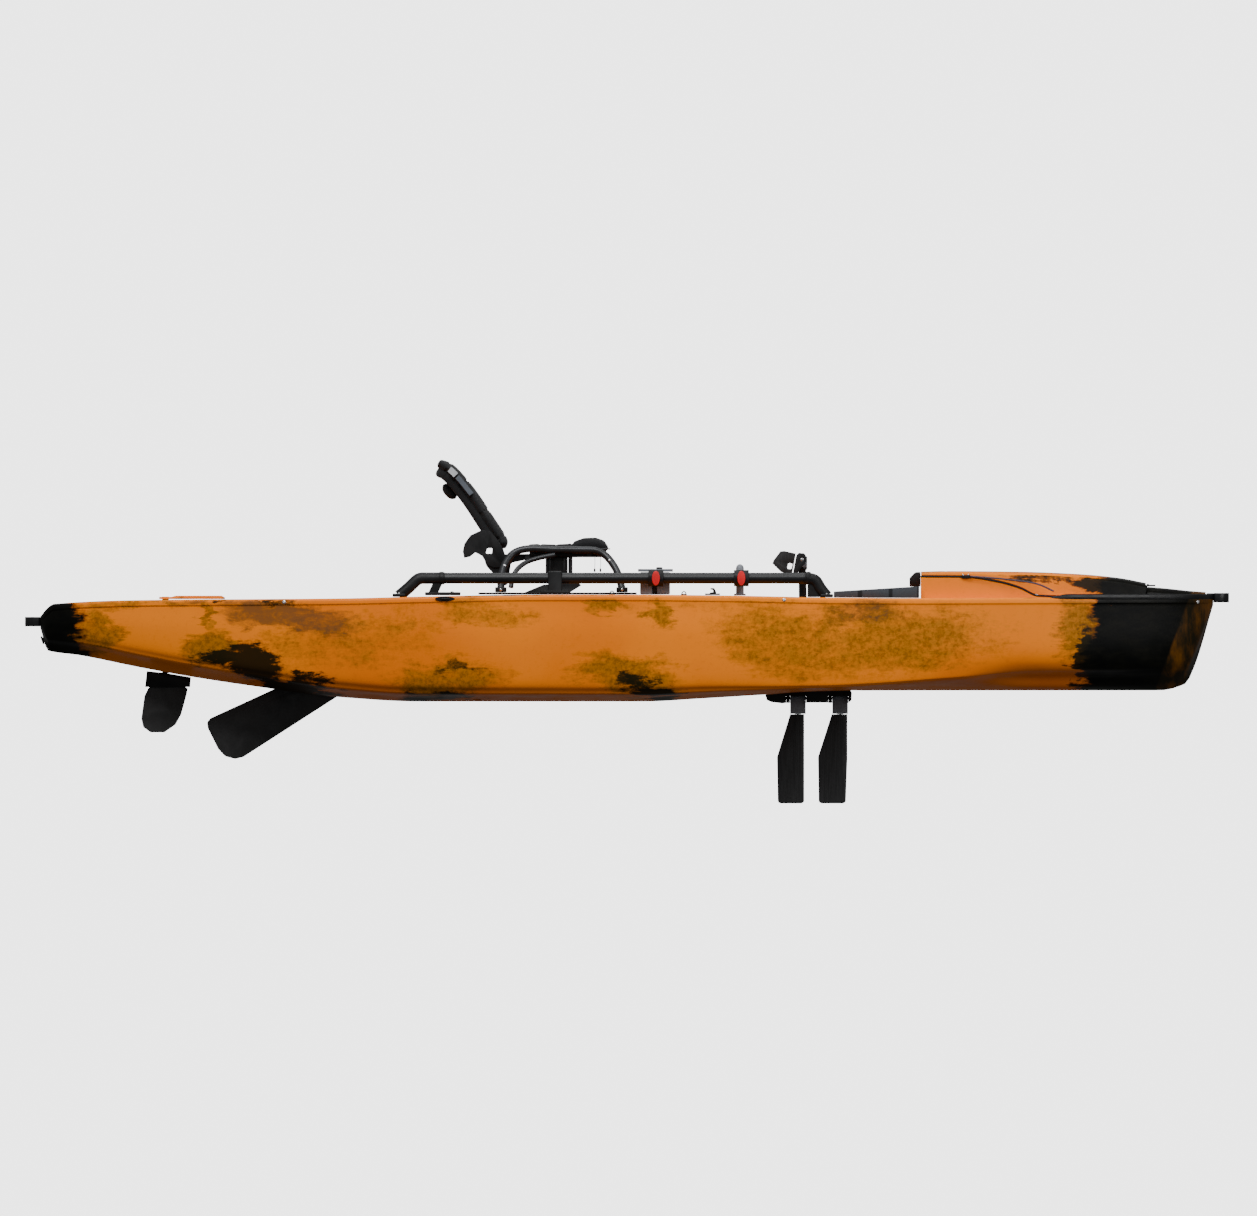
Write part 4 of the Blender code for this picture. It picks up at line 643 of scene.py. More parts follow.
def ride(piece, body, replaces=()):
    """Says which body the piece moves with and the CAD nodes it stands for."""
    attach(piece, body)
    if replaces:
        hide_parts(*replaces)
    return piece


def sides():
    return (("stbd", -1.0), ("port", 1.0))


def mirrored(x, side, first=-1.0):
    """A ring at x from the (y, z) points of one side and their mirror image, on the first side first."""
    return [Vector((x, first * y, z)) for y, z in side] + [Vector((x, -first * y, z)) for y, z in reversed(side)]


def even_shading(piece, degrees):
    """Smooth shading that ignores the long thin faces a boolean leaves."""
    piece.data.shade_smooth()
    piece.data.set_sharp_from_angle(angle=math.radians(degrees))
    even = piece.modifiers.new("even_normals", "WEIGHTED_NORMAL")
    even.keep_sharp = True


# ---------------------------------------------------------------- camera, light and floor
def build_stage():
    """The camera, three soft lights, a pale world and the floor. The world looks whiter than it lights."""
    camera = bpy.data.objects.new("camera", bpy.data.cameras.new("camera"))
    bpy.context.scene.collection.objects.link(camera)
    camera.data.type = "ORTHO"
    camera.data.ortho_scale = VIEW_WIDTH
    camera.location = (VIEW_CENTRE[0], -VIEW_DISTANCE, VIEW_CENTRE[1])
    camera.rotation_euler = (math.radians(90), 0, 0)
    camera.data.clip_end = 60.0
    bpy.context.scene.camera = camera
    world = bpy.data.worlds.new("studio")
    bpy.context.scene.world = world
    world.use_nodes = True
    tree = world.node_tree
    glow = tree.nodes["Background"]
    glow.inputs["Color"].default_value = (1.0, 1.0, 1.0, 1.0)
    height = tree.nodes.new("ShaderNodeSeparateXYZ")
    tree.links.new(tree.nodes.new("ShaderNodeTexCoord").outputs["Generated"], height.inputs[0])
    fade = tree.nodes.new("ShaderNodeMapRange")
    tree.links.new(height.outputs["Z"], fade.inputs["Value"])
    for key, value in (("From Min", -0.25), ("From Max", 0.35), ("To Min", 0.11), ("To Max", 0.34)):
        fade.inputs[key].default_value = value
    tree.links.new(fade.outputs["Result"], glow.inputs["Strength"])
    paper_white = tree.nodes.new("ShaderNodeBackground")
    paper_white.inputs["Color"].default_value = (1.0, 1.0, 1.0, 1.0)
    paper_white.inputs["Strength"].default_value = 3.5
    either = tree.nodes.new("ShaderNodeMixShader")
    tree.links.new(tree.nodes.new("ShaderNodeLightPath").outputs["Is Camera Ray"], either.inputs["Fac"])
    tree.links.new(glow.outputs[0], either.inputs[1])
    tree.links.new(paper_white.outputs[0], either.inputs[2])
    tree.links.new(either.outputs[0], tree.nodes["World Output"].inputs["Surface"])
    for name, spot, aim, size, power in (
            ("key_light", (-1.6, -5.0, 5.2), (0.0, 0.0, 0.3), (4.5, 3.0), 470.0),
            ("top_light", (0.3, 0.4, 5.0), (0.0, 0.0, 0.3), (6.0, 2.5), 150.0),
            ("fill_light", (4.2, -4.0, 1.6), (0.6, 0.0, 0.2), (2.5, 2.5), 95.0)):
        data = bpy.data.lights.new(name, "AREA")
        data.shape = "RECTANGLE"
        data.size, data.size_y = size
        data.energy = power
        light = bpy.data.objects.new(name, data)
        light.location = spot
        light.rotation_euler = (Vector(aim) - Vector(spot)).to_track_quat("-Z", "Y").to_euler()
        bpy.context.scene.collection.objects.link(light)
    paper = Paint("pale_floor", specular=0.2)
    fibre = paper.noise(3.0, 5.0, 0.6)
    paper.colour(paper.mix(fibre, (0.80, 0.80, 0.80), (0.86, 0.86, 0.86)))
    paper.rough(paper.span(fibre, 0.3, 0.7, 0.85, 0.95))
    paper.bump(paper.noise(60.0, 4.0, 0.6), 0.05, 0.001)
    shape = bmesh.new()
    shape.faces.new([shape.verts.new((x, y, STUDIO_FLOOR_Z))
                     for x, y in ((-14, -14), (14, -14), (14, 14), (-14, 14))])
    floor = from_bmesh("floor", shape, paper.material, 0)
    floor.visible_diffuse = False
    floor.visible_glossy = False


# ---------------------------------------------------------------- hull
def hull_half(x):
    """The starboard half of the section at x, keel to deck edge, with the gunwale's moulded lip."""
    b, low, high = half_beam(x), keel(x), sheer(x)
    depth = high - low
    knots = [(across(x) * b, low + up(x) * depth) for across, up in section]
    knots.append((b - 0.0030, low + 0.90 * depth))
    lip = min(0.022, 0.30 * depth)
    side = [tuple(p) for p in blend_line(knots, 6)]
    side = [(max(y, 0.0), z) for y, z in side]
    side += [(b - 0.0028, high - lip - 0.0015), (b - 0.0018, high - lip), (b + 0.0006, high - lip + 0.0022),
             (b + 0.0010, high - lip + 0.0045), (b + 0.0006, high - 0.0095), (b - 0.0006, high - 0.0055),
             (b - 0.0030, high - 0.0024), (b - 0.0065, high - 0.0006), (b - 0.0115, high)]
    return side


def hull_ring(x):
    return mirrored(x, hull_half(x))


def hull_stations():
    """Where the hull's sections are cut: evenly amidships and closer together where the ends turn in."""
    ends = [STERN_X, -2.028, -2.022, -2.014, -2.005, -1.995, -1.985, -1.965, -1.94]
    count = 104
    middle = [-1.90 + (1.86 + 1.90) * k / count for k in range(count + 1)]
    return ends + middle + [1.89, 1.915, 1.933, 1.948, 1.960, 1.972, 1.985, 1.998, 2.008, 2.017, 2.024, BOW_X]


def foredeck_ring(x):
    """The raised deck at x: the coaming under the hatch lid, or the crowned nose deck ahead of it."""
    half = half_beam(x) - HATCH_MARGIN
    if x > HATCH[1] + 0.003:
        top, crown = nose_deck(x), 0.0035
        half = min(half, half_beam(x) * 0.62)
        edge = min(0.022, top - sheer(x), 0.8 * half)
    else:
        top, crown = hatch_seam(x) - SEAL - GAP, 0.0
        edge = min(0.006, max(top - sheer(x), 0.002))
    low = sheer(x) - 0.03
    turn = [(half - edge + edge * math.cos(a), top - crown - edge + edge * math.sin(a))
            for a in (math.pi / 2 * k / 5 for k in range(6))]
    side = [(half, low)] + turn + [(0.5 * (half - edge), top - 0.25 * crown)]
    return mirrored(x, side)


def foredeck():
    """The whole raised foredeck, which is joined to the hull."""
    first, last = HATCH[0] - 0.0011, 2.004
    aft = [first + (HATCH[1] + 0.001 - first) * k / 40 for k in range(41)]
    fore = [HATCH[1] + 0.006 + (last - HATCH[1] - 0.006) * k / 18 for k in range(19)]
    return loft("foredeck", [foredeck_ring(x) for x in aft + fore], CAMO)


def outset(outline, distance):
    """A closed outline moved outwards by distance, for an outline that runs anticlockwise or clockwise."""
    area = sum(a[0] * b[1] - b[0] * a[1] for a, b in zip(outline, outline[1:] + outline[:1]))
    way = 1.0 if area > 0 else -1.0
    made = []
    for before, here, after in zip(outline[-1:] + outline[:-1], outline, outline[1:] + outline[:1]):
        ahead = (Vector(after) - Vector(before)).normalized()
        made.append((here[0] + way * distance * ahead.y, here[1] - way * distance * ahead.x))
    return made


def tidy_outline(outline, least=0.0012):
    """The outline without points that nearly coincide."""
    made = [outline[0]]
    for point in outline[1:]:
        if (Vector(point) - Vector(made[-1])).length > least:
            made.append(point)
    if (Vector(made[-1]) - Vector(made[0])).length < least:
        made.pop()
    return made


def well(name, outline, floor_z, rim=0.010, fillet=0.018, draft=0.004):
    """A cutter for a moulded well: rounded floor edge, slightly sloped walls and a rim that rolls into the deck."""
    outline = tidy_outline(outline)
    rings = []
    for k in range(6):
        a = math.pi / 2 * k / 5
        level = floor_z + fillet * (1 - math.cos(a))
        rings.append([Vector((x, y, level)) for x, y in outset(outline, -draft - fillet * (1 - math.sin(a)))])
    for a in (0.0, 0.35, 0.7, 1.05, 1.32):
        rings.append([Vector((x, y, sheer(x) - rim + rim * math.sin(a))) for x, y in
                      outset(outline, rim * (1 - math.cos(a)))])
    rings.append([Vector((x, y, 0.62)) for x, y in outset(outline, rim * 0.9)])
    return loft(name, rings, CAMO)


def margin_outline(span, margin, count=25):
    """A deck recess outline that keeps a margin inside the gunwale."""
    first, last = span
    xs = [first + (last - first) * k / (count - 1) for k in range(count)]
    side = [(x, -(half_beam(x) - margin)) for x in xs]
    return side + [(x, -y) for x, y in reversed(side)]


def round_cutter(name, x, y, radius, low, high, count=32):
    return turned(name, (x, y, 0.0), (0, 0, 1), [(low, radius), (high, radius)], CAMO, count)


def build_hull():
    """The shell with its foredeck, then the wells, slots and holes cut into it."""
    hull = loft("hull_shell", [hull_ring(x) for x in hull_stations()], CAMO)
    carve(hull, [foredeck()], "UNION")
    cockpit = rounded([(COCKPIT[0], -COCKPIT_HALF), (0.55, -COCKPIT_HALF), (COCKPIT[1], -0.22), (COCKPIT[1], 0.22),
                       (0.55, COCKPIT_HALF), (COCKPIT[0], COCKPIT_HALF)], 0.06, 8)
    x0, x1, half, low = BIN
    (near, near_top), (far, far_top) = SLOT_TOP
    slot = [(SKEG_X + 0.085, -0.05), (SKEG_X + 0.085, near_top - 0.008), (near, near_top), (far, far_top),
            (far, -0.05)]
    hole = rounded(margin_outline(HATCH_HOLE, 0.105, 9), 0.05, 6)
    bins = rounded([(x0, -half), (x1, -half), (x1, half), (x0, half)], 0.02, 4)
    drive = rounded([(DRIVE_WELL[0], -DRIVE_WELL_HALF), (DRIVE_WELL[1], -DRIVE_WELL_HALF),
                     (DRIVE_WELL[1], DRIVE_WELL_HALF), (DRIVE_WELL[0], DRIVE_WELL_HALF)], 0.012, 4)
    drain, out = Vector((-2.0190, 0.0, 0.2140)), Vector((-0.947, 0.0, -0.320))
    carve(hull, [
        well("cut_cockpit", cockpit, FLOOR_Z),
        well("cut_rear", rounded(margin_outline(REAR_WELL, REAR_WELL_MARGIN), 0.05, 6), REAR_WELL_Z, fillet=0.014),
        prism("cut_bin", tidy_outline(bins), "z", low, 0.2, CAMO),
        prism("cut_drive", tidy_outline(drive), "z", -0.1, 0.2, CAMO),
        round_cutter("cut_pod", DRIVE_X, 0.0, POD_RECESS_R, -0.1, POD_RECESS_Z, 72),
        prism("cut_skeg", slot, "y", -SLOT_HALF, SLOT_HALF, CAMO),
        round_cutter("cut_rudder", RUDDER_X, 0.0, 0.0175, -0.1, 0.6),
        prism("cut_hold", tidy_outline(hole), "z", 0.16, 0.6, CAMO),
        turned("cut_drain", drain, out, [(-0.04, 0.0095), (0.04, 0.0095)], CAMO, 24),
    ])
    carve(hull, [round_cutter(f"cut_scupper_{k}", x, y, 0.016, -0.1, 0.2, 24)
                 for k, (x, y) in enumerate(((-0.52, 0.20), (-0.52, -0.20), (0.42, 0.20), (0.42, -0.20)))])
    even_shading(hull, 38)
    ride(hull, "hull", ["hull"])


def merge(name, pieces):
    """One object from several, each with its modifiers applied first."""
    for piece in pieces:
        if piece.modifiers:
            apply_modifiers(piece)
    first = pieces[0]
    if len(pieces) > 1:
        with bpy.context.temp_override(active_object=first, object=first, selected_objects=pieces,
                                       selected_editable_objects=pieces):
            bpy.ops.object.join()
    first.name = name
    return first


# ---------------------------------------------------------------- front hatch
def hatch_half(x):
    return half_beam(x) - HATCH_MARGIN


def lid_ring(x, inset=0.0, drop=0.0):
    """The lid's section at x, shrunk by inset and with its lower edge dropped, for the hollow."""
    half, top, low = hatch_half(x) - inset, hatch_top(x) - inset, hatch_seam(x) - drop
    depth = top - low
    edge = min(0.014, 0.5 * depth)
    lip = min(0.004, 0.25 * depth)
    turn = [(half - 1.4 * edge + 1.4 * edge * math.cos(a), top - edge + edge * math.sin(a))
            for a in (math.pi / 2 * k / 6 for k in range(7))]
    side = [(half - 0.0015, low), (half + 0.0008, low + 0.3 * lip), (half + 0.0008, low + 0.8 * lip),
            (half, low + lip)] + turn + [(0.72 * half, top + 0.0022), (0.40 * half, top + 0.0042)]
    return mirrored(x, side, 1.0)


def build_hatch():
    """The front lid: a crowned shell with a shallow moulded groove round its top panel."""
    count = 46
    xs = [HATCH[0] + (HATCH[1] - HATCH[0]) * k / count for k in range(count + 1)]
    rings = [lid_ring(x) for x in xs]
    lid = loft("front_hatch_lid", rings, CAMO, 40)
    inner = [x for x in xs if HATCH[0] + 0.02 < x < HATCH[1] - 0.02]
    carve(lid, [loft("lid_hollow", [lid_ring(x, 0.006, 0.05) for x in inner], CAMO)])
    panel = rounded([(1.10, -0.20), (1.66, -0.105), (1.66, 0.105), (1.10, 0.20)], 0.05, 6)
    outer = tidy_outline(panel)
    inner = outset(outer, -0.007)
    shape = bmesh.new()
    loops = [[shape.verts.new((x, y, hatch_top(x) + level)) for x, y in ring]
             for ring, level in ((outer, 0.02), (inner, 0.02), (inner, 0.0012), (outer, 0.0012))]
    for a, b in zip(loops, loops[1:] + loops[:1]):
        for i in range(len(a)):
            j = (i + 1) % len(a)
            shape.faces.new((a[i], a[j], b[j], b[i]))
    carve(lid, [from_bmesh("cut_panel", shape, CAMO)])
    even_shading(lid, 40)
    ride(lid, "hatch_lid", ["hatch_lid"])


def build_hatch_seal():
    """The bulb seal that shows as a black line under the lid's edge."""
    count = 60
    xs = [HATCH[0] + 0.002 + (HATCH[1] - HATCH[0] - 0.004) * k / count for k in range(count + 1)]
    side = [(x, -(hatch_half(x) - 0.0024)) for x in xs]
    loop = [Vector((x, y, hatch_seam(x) - SEAL / 2 - GAP)) for x, y in side + [(x, -y) for x, y in reversed(side)]]
    rings = []
    for k, point in enumerate(loop):
        ahead = (loop[(k + 1) % len(loop)] - loop[k - 1]).normalized()
        across = Vector((0, 0, 1)).cross(ahead).normalized()
        up = ahead.cross(across)
        rings.append([point + 0.0044 * math.cos(a) * across + 0.0034 * math.sin(a) * up
                      for a in turns(12)])
    seal = loft("hatch_bulb_seal", rings, TRIM_RUBBER, 60, closed=True)
    ride(seal, "hull", ["hatch_seal"])


def build_bow_trim():
    """The black bumper that runs along each gunwale into the bow handle, and the stern handle's root."""
    for side, sign in sides():
        rings = []
        count = 44
        for k in range(count + 1):
            x = 1.462 + (2.031 - 1.462) * k / count
            grow = math.sqrt(min(1.0, (k + 0.4) / 5))
            y = max(half_beam(x) - 0.0065, 0.020)
            tall, wide = 0.0105 * grow, 0.0070 * grow
            middle = Vector((x, sign * y, 0.3618 - 0.0105 * (1.0 - grow)))
            rings.append([middle + Vector((0, wide * math.copysign(abs(math.cos(a)) ** 0.6, math.cos(a)),
                                           tall * math.copysign(abs(math.sin(a)) ** 0.6, math.sin(a))))
                          for a in turns(20)])
        ride(loft(f"bow_bumper_{side}", rings, BLACK_SATIN, 50), "hull")
    root = soften(prism("bow_root", [(2.006, -0.040), (2.032, -0.034), (2.032, 0.034), (2.006, 0.040)], "z", 0.3515,
                        0.3755, BLACK_SATIN), 0.004)
    ride(merge("bow_handle_root", [root]), "hull")
    root = soften(prism("stern_root", [(-2.022, -0.062), (-2.0335, -0.052), (-2.0335, 0.052), (-2.022, 0.062)], "z",
                        0.2620, 0.2925, BLACK_SATIN), 0.003)
    ride(merge("stern_handle_root", [root]), "hull")


def build_hatch_cord():
    """The bungee that holds the lid down, taut over its starboard edge."""
    route = bend_through(CORD_ROUTE, 25)
    curve = bpy.data.curves.new("hatch_bungee", "CURVE")
    curve.dimensions = "3D"
    curve.bevel_depth = CORD_R
    curve.bevel_resolution = 4
    curve.use_fill_caps = True
    line = curve.splines.new("POLY")
    line.points.add(len(route) - 1)
    for spot, point in zip(line.points, route):
        spot.co = (*point, 1.0)
    curve.materials.append(CORD)
    cord = bpy.data.objects.new("hatch_bungee", curve)
    bpy.context.scene.collection.objects.link(cord)
    ride(cord, "hull", ["hatch_cord"])


# ---------------------------------------------------------------- rails
def build_rails():
    """Both side rails, with a casting at each end that bends down to a bolted foot."""
    for side, sign in sides():
        y = sign * RAIL_Y
        route = [(RAIL[0] + (RAIL[1] - RAIL[0]) * k / 12, y, RAIL_Z) for k in range(13)]
        ride(tube(f"side_rail_{side}", route, RAIL_R, RAIL_METAL, 40), "hull", [f"rail_{side}"])
        for end, x, way in (("aft", RAIL[0], -1.0), ("fwd", RAIL[1], 1.0)):
            bend, reach = RAIL_RUNS[end]
            foot = x + way * reach
            deck = sheer(foot)
            knots = [(x + way * GAP, y, RAIL_Z), (x + way * (bend - 0.030), y, RAIL_Z),
                     (x + way * (bend - 0.012), y, RAIL_Z - 0.0006), (x + way * (bend + 0.003), y, RAIL_Z - 0.0075),
                     (x + way * (bend + 0.5 * (reach - bend)), y, 0.5 * (RAIL_Z - 0.012 + deck + 0.008)),
                     (foot, y, deck + 0.004)]
            if end == "fwd":
                knots.pop(2)
            pipe = tube("casting", blend_line(knots, 6), RAIL_END_R, BLACK, 32)
            collar = turned("collar", (x + way * 0.004, y, RAIL_Z), (way, 0, 0),
                            [(0.0, 0.0205), (0.0015, 0.0222), (0.014, 0.0222), (0.0165, 0.0206)], BLACK, 40)
            low = max(sheer(foot - RAIL_FOOT), sheer(foot + RAIL_FOOT)) + GAP
            base = block("foot", (foot - RAIL_FOOT - 0.004, y - 0.027, low),
                         (foot + RAIL_FOOT + 0.004, y + 0.027, low + 0.0115), BLACK, 0.0035)
            parts = [pipe, collar, base]
            for across in (-0.0195, 0.0195):
                parts.append(turned("bolt", (foot, y + across, low + 0.0115), (0, 0, 1),
                                    [(-0.002, 0.0052), (0.0012, 0.0052), (0.0024, 0.0036)], STEEL, 16))
            if end == "aft":
                low = sheer(-0.53) + GAP
                parts.append(block("stay", (-0.700, y - 0.024, low), (-0.576, y + 0.024, 0.379), BLACK, 0.0035))
                strut = rounded([(-0.690, 0.372), (-0.656, 0.372), (-0.634, 0.4200), (-0.668, 0.4200)], 0.004, 3)
                parts.append(soften(prism("strut", strut, "y", y - 0.010, y + 0.010, BLACK), 0.002))
                parts.append(turned("bolt", (-0.606, y, 0.379), (0, 0, 1),
                                    [(-0.002, 0.0055), (0.0012, 0.0055), (0.0026, 0.0038)], STEEL, 16))
            else:
                floor = sheer(0.627) + GAP
                gusset = rounded([(0.625, floor), (0.686, floor), (0.668, 0.400), (0.645, 0.4160), (0.625, 0.4160)],
                                 0.004, 3)
                parts.append(soften(prism("gusset", gusset, "y", y - 0.008, y + 0.008, BLACK), 0.002))
            casting = merge(f"rail_casting_{side}_{end}", parts)
            ride(casting, "hull", [f"rail_end_{side}_{end}"])


# ---------------------------------------------------------------- soft pieces
def inflate(piece, voxel, pressure, cap, stiffness=15.0):
    """Swells a closed form like a stuffed one with a short cloth run, each point held within cap of its place."""
    remesh = piece.modifiers.new("remesh", "REMESH")
    remesh.mode = "VOXEL"
    remesh.voxel_size = voxel
    remesh.use_smooth_shade = True
    apply_modifiers(piece)
    rest = [v.co.copy() for v in piece.data.vertices]
    cloth = piece.modifiers.new("cloth", "CLOTH")
    settings = cloth.settings
    settings.quality = 6
    settings.mass = 0.35
    settings.tension_stiffness = stiffness
    settings.compression_stiffness = stiffness
    settings.shear_stiffness = 5.0
    settings.bending_stiffness = 0.5
    settings.use_pressure = True
    settings.uniform_pressure_force = pressure
    settings.effector_weights.gravity = 0.0
    cloth.collision_settings.use_collision = False
    cloth.collision_settings.use_self_collision = False
    cloth.point_cache.frame_start = 1
    cloth.point_cache.frame_end = 20
    for number in range(1, 21):
        bpy.context.scene.frame_set(number)
    apply_modifiers(piece)
    bpy.context.scene.frame_set(1)
    for v, home in zip(piece.data.vertices, rest):
        shift = v.co - home
        if shift.length > cap:
            v.co = home + shift * (cap / shift.length)
    finer = piece.modifiers.new("finer", "SUBSURF")
    finer.levels = finer.render_levels = 1
    apply_modifiers(piece)
    piece.data.shade_smooth()
    return piece


def wrap_seam(name, points, radius, paint):
    """Piping along a closed line."""
    rings = []
    count = len(points)
    for k, point in enumerate(points):
        ahead = (points[(k + 1) % count] - points[k - 1]).normalized()
        across = Vector((0, 1, 0)).cross(ahead) if abs(ahead.y) < 0.9 else Vector((0, 0, 1)).cross(ahead)
        across.normalize()
        up = ahead.cross(across)
        rings.append([point + radius * (math.cos(a) * across + math.sin(a) * up)
                      for a in turns(8)])
    return loft(name, rings, paint, 60, closed=True)


# ---------------------------------------------------------------- seat
def hoop_y(z):
    """How far out the seat's side hoop stands at a height: its legs splay towards the tracks."""
    share = min(max((0.515 - z) / (0.515 - 0.390), 0.0), 1.0)
    return SEAT_TOP_Y + share * (SEAT_FOOT_Y - SEAT_TOP_Y)


def build_seat_frame():
    """Side hoops, cross tubes, risers, hinge plates, inner braces, tray and the laces under the pan."""
    track_top = sheer(-0.15) + GAP + 0.007
    for side, sign in sides():
        route = [(x, sign * hoop_y(z), z) for x, z in HOOP]
        parts = [tube("hoop", bend_through(route, 61), SEAT_R, SEAT_METAL, 24)]
        for x in (HOOP[0][0], HOOP[-1][0]):
            y = sign * SEAT_FOOT_Y
            parts.append(block("foot", (x - 0.020, y - 0.017, track_top + GAP), (x + 0.020, y + 0.017, 0.396), BLACK,
                               0.003))
            parts.append(turned("foot_bolt", (x, y + sign * 0.0165, 0.387), (0, sign, 0),
                                [(0.0, 0.0048), (0.0016, 0.0048), (0.0028, 0.0030)], STEEL, 16))
        for x, z in ((-0.424, 0.470), (-0.060, 0.489)):
            y = sign * hoop_y(z)
            parts.append(turned("hoop_rivet", (x, y + sign * (SEAT_R - 0.001), z), (0, sign, 0),
                                [(0.0, 0.0042), (0.0014, 0.0042), (0.0024, 0.0026)], STEEL, 14))
        ride(merge(f"seat_side_hoop_{side}", parts), "seat", [f"seat_hoop_{side}"])
    reach = SEAT_TOP_Y - SEAT_R - GAP
    parts = []
    for x, z in ((-0.345, 0.4995), (-0.130, 0.5095)):
        parts.append(tube("cross", [(x, -reach + 2 * reach * k / 8, z) for k in range(9)], 0.009, SEAT_METAL, 20))
    for side, sign in sides():
        y = sign * 0.200
        parts.append(tube("runner", [(-0.345, y, 0.4995), (-0.24, y, 0.5045), (-0.130, y, 0.5095)], 0.008,
                          SEAT_METAL))
        parts.append(block("riser", (-0.282, y - 0.012, 0.4285), (-0.205, y + 0.012, 0.505), BLACK, 0.003))
        for x in (-0.268, -0.219):
            parts.append(block("riser_rib", (x - 0.003, y - 0.0135, 0.436), (x + 0.003, y + 0.0135, 0.498),
                               SEAT_METAL, 0.0012))
        bracket = rounded([(-0.498, 0.508), (-0.424, 0.510), (-0.282, 0.512), (-0.282, 0.4965), (-0.345, 0.4915),
                           (-0.402, 0.480), (-0.412, 0.404), (-0.446, 0.398), (-0.462, 0.442), (-0.488, 0.470)],
                          0.010, 6)
        plate_y = sign * 0.2255
        parts.append(soften(prism("hinge", bracket, "y", plate_y - 0.004, plate_y + 0.004, BLACK), 0.0012, 2))
        for x, z in ((-0.345, 0.5010), (-0.430, 0.425), (-0.436, 0.455)):
            parts.append(turned("bolt", (x, plate_y + sign * 0.0035, z), (0, sign, 0),
                                [(0.0, 0.0055), (0.0014, 0.0055), (0.0030, 0.0036)], STEEL, 16))
        parts.append(tube("strut", [(-0.196, y, 0.4285), (-0.196, y, 0.465), (-0.196, y, 0.505)], 0.0075, SEAT_METAL))
        parts.append(block("shoe", (-0.290, y - 0.014, 0.4200), (-0.180, y + 0.014, 0.4300), BLACK, 0.003))
    ride(merge("seat_underframe", parts), "seat", ["seat_frame"])
    arches = []
    for side, sign in sides():  # the inner brace of each side hoop
        y = sign * 0.262
        route = [(-0.402, sign * 0.312, 0.395), (-0.396, sign * 0.300, 0.428), (-0.378, sign * 0.285, 0.460),
                 (-0.345, sign * 0.268, 0.484), (-0.300, y, 0.4985), (-0.250, sign * 0.256, 0.5080)]
        arches.append(tube("brace", blend_line(route, 5), 0.0085, SEAT_METAL, 18))
    ride(merge("seat_braces", arches), "seat")
    tray = rounded([(-0.338, -0.205), (-0.320, -0.226), (-0.100, -0.226), (-0.082, -0.205), (-0.082, 0.205),
                    (-0.100, 0.226), (-0.320, 0.226), (-0.338, 0.205)], 0.012, 4)
    tray = soften(prism("seat_tray", tidy_outline(tray), "z", 0.4995, 0.5215, BLACK), 0.005)
    ride(tray, "seat")
    for side, sign in sides():  # lacing under the front of the pan
        for k, x in enumerate((-0.112, -0.092)):
            y = sign * (0.213 + 0.004 * k)
            lace = tube(f"seat_lace_{side}_{k}", [(x, y, 0.524), (x + 0.0006, y, 0.500), (x + 0.001, y, 0.478),
                                                  (x, y, 0.459)], 0.0009, CORD, 10)
            tip = turned("toggle", (x, y, 0.459), (0, 0, -1), [(-0.002, 0.0010), (0.0, 0.0030), (0.008, 0.0032),
                                                               (0.0105, 0.0018)], BLACK, 14)
            ride(merge(f"seat_lace_{side}_{k}", [lace, tip]), "seat")


def build_seat_pan():
    """The padded pan with a raised front roll, sewn channels and piping."""
    rings = []
    spine = [(-0.352, 0.522, 0.534, 0.205), (-0.343, 0.520, 0.540, 0.224), (-0.310, 0.520, 0.5415, 0.2325),
             (-0.255, 0.520, 0.5395, 0.2325), (-0.200, 0.521, 0.5420, 0.2325), (-0.178, 0.521, 0.5520, 0.2325),
             (-0.150, 0.521, 0.5620, 0.2325), (-0.108, 0.521, 0.5635, 0.2325), (-0.076, 0.522, 0.5525, 0.224),
             (-0.061, 0.525, 0.5370, 0.205)]
    for x, low, high, half in spine:
        edge = 0.42 * (high - low)
        turn = [(half - edge + edge * math.sin(a), high - edge + edge * math.cos(a))
                for a in (math.pi / 2 * k / 4 for k in range(5))]
        ring = [(half - edge, low), (half - 0.3 * edge, low + 0.3 * edge)] + list(reversed(turn))
        rings.append(mirrored(x, ring, 1.0))
    pan = loft("seat_cushion", rings, FABRIC, 60)
    inflate(pan, 0.0055, 3.0, 0.0045)
    for v in pan.data.vertices:  # sewn channels across, and no swelling into the frame below
        x, y, z = v.co
        if z > 0.528:
            for line, deep, wide in ((-0.190, 0.0060, 0.0050), (-0.300, 0.0030, 0.0040), (-0.245, 0.0022, 0.0038)):
                z -= deep * math.exp(-((x - line) / wide) ** 2)
            for line in (-0.118, 0.118):
                if x < -0.19:
                    z -= 0.0026 * math.exp(-((y - line) / 0.0042) ** 2)
        z = max(z, 0.5195)
        v.co = (x, y, z)
    ride(pan, "seat", ["seat_pan"])
    loop = rounded([(-0.350, -0.206), (-0.331, -0.2345), (-0.083, -0.2345), (-0.060, -0.206), (-0.060, 0.206),
                    (-0.083, 0.2345), (-0.331, 0.2345), (-0.350, 0.206)], 0.02, 4)
    piping = wrap_seam("seat_piping", [Vector((x, y, 0.5285)) for x, y in tidy_outline(loop)], 0.0022, PIPING)
    ride(piping, "seat")


def back_point(t, offset, y=0.0):
    """A point of the back rest: t from 0 at the bottom to 1 at the top, offset behind its front face."""
    count = len(BACK_FRONT) - 1
    knots = [Vector((x, 0.0, z)) for x, z in BACK_FRONT]
    line = blend_line(knots, 12)
    spot = t * (len(line) - 1)
    i = min(int(spot), len(line) - 2)
    here = line[i].lerp(line[i + 1], spot - i)
    ahead = (line[min(i + 2, count * 12)] - line[max(i - 1, 0)]).normalized()
    return here + offset * Vector((-ahead.z, 0.0, ahead.x)) + Vector((0, y, 0))


